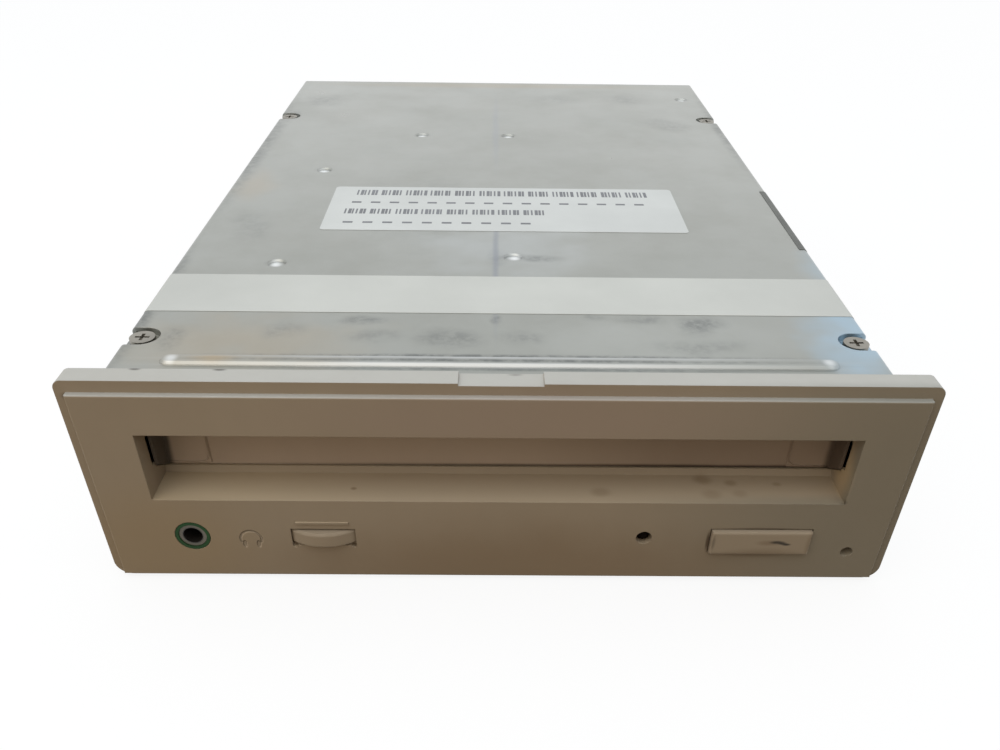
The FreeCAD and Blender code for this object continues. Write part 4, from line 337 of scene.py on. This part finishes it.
# The button's: its worn streak, and shade at its lower edge and its ends
BUTTON_MARKS = [
    ((50.6, BUTTON_FRONT, 9.6), 3.0, (1, 3, 0.3), 0.4, srgb(112, 92, 70)),
    ((52.2, BUTTON_FRONT, 9.8), 1.9, (1, 3, 0.3), 0.9, SOOT_AND_SHADE),
    ((53.2, BUTTON_FRONT, 9.55), 1.2, (1, 3, 0.4), 0.9, SOOT_AND_SHADE),
    ((54.0, BUTTON_FRONT, 9.3), 1.2, (1, 3, 0.36), 0.95, SOOT_AND_SHADE),
    ((40.2, BUTTON_FRONT, 9.6), 2.6, (0.18, 3, 1), 0.4, SOOT_AND_SHADE),
    ((49.2, BUTTON_FRONT, 6.4), 12, (1, 1, 0.2), 0.45, BUTTON_SHADE),
    ((58.3, BUTTON_FRONT, 9.4), 4, (0.25, 3, 1), 0.35, BUTTON_SHADE),
]

# The door's: painted shade down its two ends, a darker right half, and painted shade in the gap along its
# lower edge
DOOR_END_SHADE = [((side * 64.5, DOOR_FRONT, 25), 22, (0.18, 1, 1), 0.85, SOOT_AND_SHADE) for side in (-1, 1)]
DOOR_MARKS = [
    ((46, DOOR_FRONT, 25), 44, (1, 0.5, 1), 0.4, srgb(112, 92, 76)),
    # Painted shade in the gap along the door's lower edge
    ((10, DOOR_FRONT, 19.7), 76, (1, 0.1, 0.011), 0.7, srgb(46, 36, 27)),
    ((44, DOOR_FRONT, 19.6), 36, (1, 0.2, 0.03), 0.8, srgb(40, 30, 22)),
]


class Plastic(Surface):
    """Aged moulded plastic, with painted light: darker and warmer where it stands upright, and paler on top.
    """

    def __init__(self, name, base, shaded_upright, rough=0.5):
        super().__init__(name, rough)
        up = self.facing_up()
        # Painted light: upright faces take the shaded colour, and upward faces near the top take the paler
        # one
        self.tone = self.mix(up, shaded_upright, base)
        self.tone = self.mix(self.noise(35, 4), self.tone, (0.9, 0.89, 0.87, 1), "MULTIPLY")
        grime = self.maths("MULTIPLY", self.noise(240, 5, stretch=(1, 1, 0.35)), 0.14)
        self.tone = self.mix(grime, self.tone, shade(shaded_upright, 0.6))
        self.link(self.remap(up, 0, 1, 0.12, 0.6), self.shader.inputs["Specular IOR Level"])
        self.roughness(self.noise(500, 2), rough - 0.06, rough + 0.1)
        self.relief = [(self.noise(5200, 2), 0.012), (self.noise(900, 2), 0.01)]

    def facing_up(self):
        """1 on the upward faces near the top of the bezel, and 0 on its front and inside its mouth."""
        normal = self.node("ShaderNodeTexCoord").outputs["Normal"]
        self.upward = self.remap(self.along(normal, "Z"), 0.3, 0.9, kind="SMOOTHSTEP")
        self.high = self.remap(self.along(self.place, "Z"), 34 * MM, 38 * MM, kind="SMOOTHSTEP")
        return self.maths("MULTIPLY", self.upward, self.high)

    def sill(self):
        """1 on the upward faces lower down, such as the sill of the mouth."""
        return self.maths("SUBTRACT", self.upward, self.high, clamp=True)

    def marked(self, marks, soft=0.8):
        for centre, radius, stretch, strength, tint in marks:
            thin = min(stretch)
            wobble = radius * thin * (0.9 if thin > 0.5 else 0.4)
            patch = self.spot(centre, radius, soft, stretch, wobble)
            self.tone = self.mix(self.maths("MULTIPLY", patch, strength), self.tone, tint)

    def done(self, edge=0.18):
        self.colour(self.tone)
        self.bump(*self.relief, edge=edge)
        return self.material


# The headphone symbol: its centre, and the headband's radius, half width and reach below the centre
PHONES = Vector((-46.6, PANEL_FRONT, 9.2))
BAND_RADIUS = 1.95
BAND_HALF = 0.24
BAND_BELOW = 0.9


def phones_symbol(made, centre):
    """A pair of headphones sunk into the bezel: 1 inside its lines and 0 outside."""
    away = made.vectors("DISTANCE", made.place, centre * MM, "Value")
    off = made.maths("ABSOLUTE", made.maths("SUBTRACT", away, BAND_RADIUS * MM))
    band = made.remap(off, BAND_HALF * MM, BAND_HALF * 0.4 * MM, kind="SMOOTHSTEP")
    above = made.maths("GREATER_THAN", made.along(made.place, "Z"), (centre.z - BAND_BELOW) * MM)
    whole = made.maths("MULTIPLY", band, above)
    for side in (-1, 1):
        cup = made.spot(centre + Vector((side * 1.3, 0, -1.2)), 0.95, 0.4, (0.45, 3, 1))
        whole = made.maths("MAXIMUM", whole, cup)
    return whole


def bezel_plastic():
    """The bezel's plastic, its upward sill painted paler than its upright faces and browner than its top, and
    paler still at its left end, a painted pool of light; with the symbol drawn twice: a painted lit edge and
    a painted shaded line.
    """
    made = Plastic("bezel_plastic", PLASTIC, SHADED_UPRIGHT)
    sill = made.sill()
    # Painted light on the upward sill, and a painted pool of light at its left end
    made.tone = made.mix(made.maths("MULTIPLY", sill, 0.85), made.tone, srgb(184, 168, 144))
    lit_left_end = made.maths("MULTIPLY", made.spot((-58, -87, 18), 46, 1.0), 0.3)
    made.tone = made.mix(made.maths("MULTIPLY", lit_left_end, sill), made.tone, srgb(214, 196, 162))
    made.marked(BEZEL_MARKS)
    # The symbol's relief in painted light: a painted highlight on its lit edge and painted shade in its line
    lit_edge = ((0.14, 0, -0.2), 0.7, shade(SHADED_UPRIGHT, 1.6))
    shaded_line = ((0, 0, 0), 0.5, shade(SHADED_UPRIGHT, 0.3))
    for shift, strength, tint in (lit_edge, shaded_line):
        symbol = phones_symbol(made, PHONES + Vector(shift))
        made.tone = made.mix(made.maths("MULTIPLY", symbol, strength), made.tone, tint)
    made.relief.append((symbol, -0.22))
    return made.done()


def button_plastic():
    made = Plastic("button_plastic", PLASTIC, SHADED_UPRIGHT)
    made.marked(BUTTON_MARKS)
    return made.done(edge=0.6)


def socket_plastic():
    """The socket's grey lip, black within its bore."""
    made = Surface("socket_plastic", 0.4)
    tone = made.ramp(made.noise(250, 4), srgb(92, 90, 80), srgb(108, 104, 94))
    made.colour(made.mix(made.spot((-57.4, -90, 9.8), 2.15, 0.2, (1, 20, 1)), tone, srgb(14, 8, 6)))
    made.roughness(made.noise(900, 3), 0.35, 0.55)
    made.bump((made.noise(2500, 3), 0.01), edge=0.1)
    return made.material


def door_plastic():
    """A pinker plastic, in shade at its two ends and along its lower edge."""
    made = Plastic("door_plastic", PLASTIC, srgb(184, 168, 153))
    made.marked(DOOR_END_SHADE, soft=0.3)
    made.marked(DOOR_MARKS)
    return made.done()


def plated_steel(name, base, rough=0.34, edge=0.2):
    """Plated sheet with long rolling grain, cloudy patches and small scratches."""
    made = Surface(name, rough, metal=1.0)
    cloudy = made.ramp(made.noise(22, 5), shade(base, 0.9), shade(base, 1.06), 0.3, 0.7)
    rolled = made.noise(260, 6, stretch=(1, 0.03, 1))
    made.colour(made.mix(made.maths("MULTIPLY", rolled, 0.08), cloudy, shade(base, 0.7)))
    made.roughness(made.noise(60, 6), rough - 0.06, rough + 0.16)
    made.bump((rolled, 0.006), (made.noise(1800, 3), 0.003), edge=edge)
    return made.material


def cover_steel():
    """The top cover's own plating, with the marks that its photograph shows."""
    made = Surface("cover_steel", 0.36, metal=0.9)
    # Painted reflection: darker towards the front of the cover and paler towards its rear
    painted_reflection_fade = made.remap(made.along(made.place, "Y"), -0.09, 0.1)
    tone = made.mix(painted_reflection_fade, shade(STEEL, 0.9), shade(STEEL, 1.04))
    tone = made.mix(made.noise(16, 6), tone, (0.86, 0.86, 0.85, 1), "MULTIPLY")
    cloudy = made.ramp(made.noise(60, 4, rough=0.6), (0.9, 0.895, 0.88, 1), (1, 1, 1, 1), 0.3, 0.6)
    tone = made.mix(1.0, tone, cloudy, "MULTIPLY")
    rolled = made.noise(200, 3, stretch=(1, 0.02, 1))
    tone = made.mix(made.maths("MULTIPLY", rolled, 0.12), tone, shade(STEEL, 0.6))
    grain = made.remap(made.noise(420, 3, rough=0.7), 0.38, 0.62, 0.35)
    for centre, radius, stretch, strength, tint in COVER_MARKS:
        thin = min(stretch[:2])
        patch = made.spot(centre, radius, 0.9, stretch, radius * thin * (1.3 if thin > 0.3 else 0.5))
        patch = made.maths("MULTIPLY", patch, strength)
        if tint == SMEAR_AND_SHADE:
            patch = made.maths("MULTIPLY", patch, grain)
        tone = made.mix(patch, tone, tint)
    made.colour(tone)
    made.roughness(made.noise(45, 4), 0.22, 0.42)
    made.bump((made.noise(38, 2), 0.05), (rolled, 0.006), (made.noise(700, 1), 0.004), edge=0.25)
    return made.material


def simple(name, base, rough, metal=0.0, relief=0.01, per_metre=900, edge=0.1, specular=0.5):
    """A plain machine part: one colour with faint unevenness in tone, gloss and relief."""
    made = Surface(name, rough, metal, specular)
    made.colour(made.ramp(made.noise(per_metre / 10, 4), shade(base, 0.85), shade(base, 1.1)))
    made.roughness(made.noise(per_metre, 3), max(0.05, rough - 0.07), rough + 0.1)
    made.bump((made.noise(per_metre, 3), relief), edge=edge)
    return made.material


def circuit_board():
    """Green solder mask over faint tracks."""
    base = srgb(28, 84, 50)
    made = Surface("circuit_board", 0.35)
    tracks = made.node("ShaderNodeTexBrick", offset=0.5, squash=1)
    tracks.inputs["Scale"].default_value = 180
    tracks.inputs["Color1"].default_value = base
    tracks.inputs["Color2"].default_value = shade(base, 0.85)
    tracks.inputs["Mortar"].default_value = shade(base, 1.5)
    tracks.inputs["Mortar Size"].default_value = 0.03
    made.link(made.place, tracks.inputs["Vector"])
    patchy = made.maths("MULTIPLY", made.noise(150, 4), 0.5)
    made.colour(made.mix(patchy, tracks.outputs["Color"], shade(base, 0.7)))
    made.bump((tracks.outputs["Fac"], 0.02))
    return made.material


def lens_glass():
    """Clear glass with the bluish tint of a coated lens."""
    made = Surface("lens_glass", 0.04)
    made.shader.inputs["Transmission Weight"].default_value = 0.9
    made.colour(made.ramp(made.noise(400, 2), srgb(170, 186, 226), srgb(190, 204, 236)))
    made.bump((made.noise(700, 2), 0.001))
    return made.material


def dress(material, *names):
    for name in names:
        nodes[name].data.materials.clear()
        nodes[name].data.materials.append(material)


# Plain parts: material, colour, roughness, metal, relief in millimetres and its waves to the metre,
# specular level, and the nodes that wear it
PLAIN_PARTS = [
    ("screw_steel", (158, 155, 147), 0.42, 1.0, 0.006, 1200, 0.5,
     ("cover_screws", "deck_screws", "board_screws")),
    ("machined_steel", (168, 170, 172), 0.28, 1.0, 0.004, 1500, 0.5,
     ("door_spring", "clamp_pivot", "holder_pins", "slide_studs", "lever_pivot", "plate_posts", "gear_shafts",
      "loading_motor", "deck_posts", "spindle_motor", "guide_rods", "sled_motor", "board_standoffs",
      "clamp_spring")),
    ("black_plastic", (34, 33, 32), 0.45, 0.0, 0.012, 2500, 0.5,
     ("switch_plunger", "eject_switch", "volume_pot", "clamp_puck", "turntable", "sled", "lens_holder",
      "board_chips", "scsi_header", "jumper_block")),
    ("green_plastic", (36, 72, 38), 0.4, 0.0, 0.01, 2500, 0.15, ("jack_ring",)),
    ("white_plastic", (222, 218, 208), 0.4, 0.0, 0.01, 2500, 0.5,
     ("main_gear", "gear_pulley", "motor_pulley", "sled_gear", "sled_pinion", "audio_connector",
      "power_connector")),
    ("black_rubber", (28, 28, 28), 0.7, 0.0, 0.02, 3000, 0.5, ("drive_belt", "isolation_grommets")),
    ("cast_metal", (158, 160, 160), 0.5, 0.9, 0.03, 2600, 0.5, ("optical_base",)),
    ("pin_gold", (210, 176, 96), 0.25, 1.0, 0.004, 1500, 0.5, ("header_pins", "power_pins")),
    ("can_metal", (90, 98, 116), 0.35, 0.3, 0.006, 1500, 0.5, ("board_capacitors",)),
    ("led_lens", (14, 8, 5), 0.6, 0.0, 0.004, 900, 0.03, ("busy_led",)),
]


def dress_nodes():
    dress(bezel_plastic(), "front_bezel")
    dress(button_plastic(), "eject_button", "volume_wheel")
    dress(door_plastic(), "dust_door")
    dress(cover_steel(), "top_cover")
    dress(plated_steel("chassis_steel", srgb(162, 164, 160)), "chassis", "loader_frame", "gear_plate")
    dress(plated_steel("stamped_steel", srgb(160, 162, 160), 0.38), "caddy_holder", "cam_slide_left",
          "cam_slide_right", "sync_lever", "clamp_arm")
    dress(socket_plastic(), "headphone_jack")
    dress(circuit_board(), "front_board", "main_board")
    dress(lens_glass(), "objective_lens")
    for name, colour, rough, metal, relief, per_metre, specular, names in PLAIN_PARTS:
        dress(simple(name, srgb(*colour), rough, metal, relief, per_metre, specular=specular), *names)


# Labels on the casing, and the door's raised outlines. The sheets lie just off the cover.

SHEET_LOW = COVER_TOP + 0.01
LABEL_CORNERS = ((-41.2, -21.7), (43.4, 7.4))
SEAL_ENDS = (-63.5, -46.6)
SEAL_MIDDLE = -55
SEAL_DROP = 9.0
# Painted shade of a dent on the cover's right edge, as a dark sheet: its ends, its reach over the top and its
# drop down the side
DENT_SHADE_ENDS = (-30.8, 6.8)
DENT_SHADE_REACH = 1.9
DENT_SHADE_DROP = 3.0
COVER_BEND = 1.0
LABEL_ROUND = 1.0
SEAL_THICK = 0.05
DENT_SHADE_THICK = 0.08


def paper(name, base, rough=0.45):
    """Coated paper, a little greyer towards the sides of the casing."""
    made = Surface(name, rough)
    tone = made.ramp(made.noise(60, 5), shade(base, 0.95), shade(base, 1.02))
    for side in (-1, 1):
        greyer = made.maths("MULTIPLY", made.spot((side * 72, SEAL_MIDDLE, COVER_TOP), 44, 1.0), 0.4)
        tone = made.mix(greyer, tone, shade(base, 0.76))
    made.colour(tone)
    made.roughness(made.noise(200, 3), rough - 0.08, rough + 0.1)
    made.bump((made.noise(900, 4), 0.006), (made.noise(60, 2), 0.03))
    return made.material


def add_piece(name, mesh, material, body="drive"):
    data = bpy.data.meshes.new(name)
    mesh.normal_update()
    mesh.to_mesh(data)
    mesh.free()
    data.materials.append(material)
    made = bpy.data.objects.new(name, data)
    bpy.context.scene.collection.objects.link(made)
    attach(made, body)


def quarter_turn(start=0):
    """Directions through a quarter turn, in steps of 15 degrees."""
    angles = [math.radians(start + step * 15) for step in range(7)]
    return [(math.cos(angle), math.sin(angle)) for angle in angles]


def tube(mesh, rows):
    """Four walls from each row of corners to the next, and a face over both ends."""
    for first, second in zip(rows, rows[1:]):
        for a in range(4):
            b = (a + 1) % 4
            mesh.faces.new((first[a], first[b], second[b], second[a]))
    mesh.faces.new(rows[0][::-1])
    mesh.faces.new(rows[-1])


def strip(name, profile, ends, thick, material):
    """A thin closed sheet that follows a profile of X and Z, from one Y to another."""
    near, far = ends
    mesh = bmesh.new()
    tube(mesh, [[mesh.verts.new(((x + out_x * lift) * MM, y * MM, (z + out_z * lift) * MM))
                 for lift, y in ((0, near), (0, far), (thick, far), (thick, near))]
                for x, z, out_x, out_z in profile])
    bmesh.ops.recalc_face_normals(mesh, faces=mesh.faces)
    add_piece(name, mesh, material)


def flat_label(name, corners, low, thick, round_off, material):
    """A thin flat sheet on the cover, its corners rounded."""
    (left, near), (right, far) = corners
    outline = []
    for x, y, start in ((right, far, 0), (left, far, 90), (left, near, 180), (right, near, 270)):
        centre_x = x - round_off if x == right else x + round_off
        centre_y = y - round_off if y == far else y + round_off
        outline += [(centre_x + round_off * out_x, centre_y + round_off * out_y)
                    for out_x, out_y in quarter_turn(start)]
    mesh = bmesh.new()
    face = mesh.faces.new([mesh.verts.new((x * MM, y * MM, low * MM)) for x, y in outline])
    grown = bmesh.ops.extrude_face_region(mesh, geom=[face])["geom"]
    bmesh.ops.translate(mesh, verts=[item for item in grown if isinstance(item, bmesh.types.BMVert)],
                        vec=(0, 0, thick * MM))
    bmesh.ops.recalc_face_normals(mesh, faces=mesh.faces)
    add_piece(name, mesh, material)


def folded_profile(drop):
    """Over the cover and down its sides by the drop, with outward directions for the sheet's thickness."""
    half, top, bend = COVER_HALF, SHEET_LOW, COVER_BEND
    points = [(half, top - drop, 1, 0)]
    points += [(half - bend + bend * out_x, top - bend + bend * out_z, out_x, out_z)
               for out_x, out_z in quarter_turn()]
    return [(-x, z, -out_x, out_z) for x, z, out_x, out_z in points] + points[::-1]


def add_labels():
    flat_label("cover_label", LABEL_CORNERS, SHEET_LOW, LABEL_TOP - SHEET_LOW, LABEL_ROUND,
               paper("label_paper", srgb(199, 201, 198)))
    add_piece("label_bars", bars_mesh(),
              simple("label_ink", srgb(112, 114, 118), 0.5, relief=0.002, edge=0.02))
    strip("seal_strip", folded_profile(SEAL_DROP), SEAL_ENDS, SEAL_THICK,
          paper("seal_paper", srgb(193, 194, 188)))


def add_dent_shade():
    """A dark sheet of painted shade for a dent along the cover's right edge: a strip of the flat top, and the
    right half of the fold.
    """
    profile = folded_profile(DENT_SHADE_DROP)
    right_half = profile[len(profile) // 2:]
    strip("dent_shade_sheet", [(COVER_HALF - DENT_SHADE_REACH, SHEET_LOW, 0, 1)] + right_half, DENT_SHADE_ENDS, DENT_SHADE_THICK,
          simple("dent_shade", srgb(92, 94, 90), 0.5, relief=0.01, edge=0.02))


# The outline of a pad: its inner, lower and outer sides, its upper end, and the bead's bend, width and height
RIM_INNER = 54.5
RIM_LOW = 20.6
RIM_OUTER = 61.9
RIM_HIGH = 29.2
RIM_BEND = 1.6
RIM_WIDE = 0.3
RIM_PROUD = 0.15


def add_pad_rims():
    """The fine raised outline, rounded at its lower corner, on each of the door's two pads."""
    path = [(RIM_INNER, RIM_HIGH, -1, 0)]
    path += [(RIM_INNER + RIM_BEND - RIM_BEND * out_x, RIM_LOW + RIM_BEND - RIM_BEND * out_z, -out_x, -out_z)
             for out_x, out_z in quarter_turn()]
    path += [(RIM_OUTER, RIM_LOW, 0, -1)]
    foot, ridge = PAD_FRONT + 0.005, PAD_FRONT - RIM_PROUD
    bead = ((0, foot), (RIM_WIDE * 0.25, ridge), (RIM_WIDE * 0.75, ridge), (RIM_WIDE, foot))
    mesh = bmesh.new()
    for side in (-1, 1):
        tube(mesh, [[mesh.verts.new((side * (x + out_x * away) * MM, y * MM, (z + out_z * away) * MM))
                     for away, y in bead] for x, z, out_x, out_z in path])
    bmesh.ops.recalc_face_normals(mesh, faces=mesh.faces)
    add_piece("door_pad_rims", mesh, nodes["dust_door"].data.materials[0], "door")


# Rows of plain bars on the label: near and far edge, left end, number and pitch of groups, bars in a group
LABEL_ROWS = [
    ((1.4, 5.0), -35.5, 12, 6.1, 6),
    ((-4.2, -3.2), -36.0, 16, 4.6, 1),
    ((-11.4, -8.2), -37.0, 8, 6.1, 6),
    ((-17.4, -16.4), -36.5, 10, 4.6, 1),
]
BAR_WIDTHS = (0.4, 0.75, 0.4, 0.4, 0.75, 0.55)
BAR_PITCH = 0.9
INK_LOW = LABEL_TOP + 0.002
INK_HIGH = LABEL_TOP + 0.012


def bars_mesh():
    mesh = bmesh.new()
    for (near, far), left, groups, pitch, bars in LABEL_ROWS:
        for group in range(groups):
            for bar in range(bars):
                start = left + group * pitch + bar * BAR_PITCH
                width = BAR_WIDTHS[(group + bar) % len(BAR_WIDTHS)] if bars > 1 else pitch * 0.5
                add_bar(mesh, start, start + width, near, far)
    return mesh


def add_bar(mesh, left, right, near, far):
    corners = [(left, near), (right, near), (right, far), (left, far)]
    tube(mesh, [[mesh.verts.new((x * MM, y * MM, z * MM)) for x, y in corners] for z in (INK_LOW, INK_HIGH)])


# Surroundings

FLOOR_HALF = 4.0
FLOOR_LEVEL = -0.95 * MM
FLOOR_WHITE = 0.88
FLOOR_BOUNCE = (0.22, 0.17, 0.11, 1)
SKY_LEAN = (0, 0.62, 0.78)
SKY_FADE = (-0.35, 0.55)
SKY_REAR = (0.86, 0.92, 0.98, 1)
SKY_FRONT = (0.22, 0.18, 0.13, 1)
WHITE = (1, 1, 1, 1)


def make_floor():
    """A pale floor under the drive, white to the eye and keeping the drive's soft shadow."""
    mesh = bmesh.new()
    mesh.faces.new([mesh.verts.new((x * FLOOR_HALF, y * FLOOR_HALF, FLOOR_LEVEL))
                    for x, y in ((-1, -1), (1, -1), (1, 1), (-1, 1))])
    data = bpy.data.meshes.new("floor")
    mesh.to_mesh(data)
    mesh.free()
    floor = bpy.data.objects.new("floor", data)
    bpy.context.scene.collection.objects.link(floor)
    made = Surface("floor_paper", 0.9, specular=0.0)
    seen = made.seen_directly()
    made.colour(made.mix(seen, FLOOR_BOUNCE, WHITE))
    glow = made.node("ShaderNodeEmission")
    blend = made.node("ShaderNodeMixShader")
    made.link(made.maths("MULTIPLY", seen, FLOOR_WHITE), blend.inputs[0])
    made.link(made.shader.outputs["BSDF"], blend.inputs[1])
    made.link(glow.outputs["Emission"], blend.inputs[2])
    made.link(blend.outputs["Shader"], made.tree.nodes["Material Output"].inputs["Surface"])
    data.materials.append(made.material)


def make_world():
    """Soft light, brighter and cooler from above and behind than from the front, and white to the eye."""
    world = bpy.data.worlds.new("studio")
    bpy.context.scene.world = world
    world.use_nodes = True
    made = Nodes(world.node_tree)
    direction = made.node("ShaderNodeTexCoord").outputs["Generated"]
    lean = made.vectors("DOT_PRODUCT", direction, SKY_LEAN, "Value")
    light = made.mix(made.remap(lean, *SKY_FADE, kind="SMOOTHSTEP"), SKY_FRONT, SKY_REAR)
    white = made.mix(made.seen_directly(), light, WHITE)
    made.link(white, made.tree.nodes["Background"].inputs["Color"])


def make_lamp(name, place, target, size, power, colour):
    data = bpy.data.lights.new(name, "AREA")
    data.size = size
    data.energy = power
    data.color = colour
    lamp = bpy.data.objects.new(name, data)
    bpy.context.scene.collection.objects.link(lamp)
    direction = Vector(target) - Vector(place)
    lamp.matrix_world = Matrix.Translation(place) @ direction.to_track_quat("-Z", "Y").to_matrix().to_4x4()


make_camera()
dress_nodes()
add_labels()
add_pad_rims()
add_dent_shade()
make_floor()
make_world()
make_lamp("top_lamp", place=(-0.08, -0.02, 0.85), target=(0, 0, 0.02), size=1.1, power=1.9,
          colour=(0.94, 0.98, 1))
make_lamp("front_lamp", place=(-0.26, -0.46, 0.42), target=(0, -0.09, 0.02), size=0.9, power=1.5,
          colour=(1, 0.86, 0.7))
bpy.context.scene.view_settings.view_transform = "Standard"
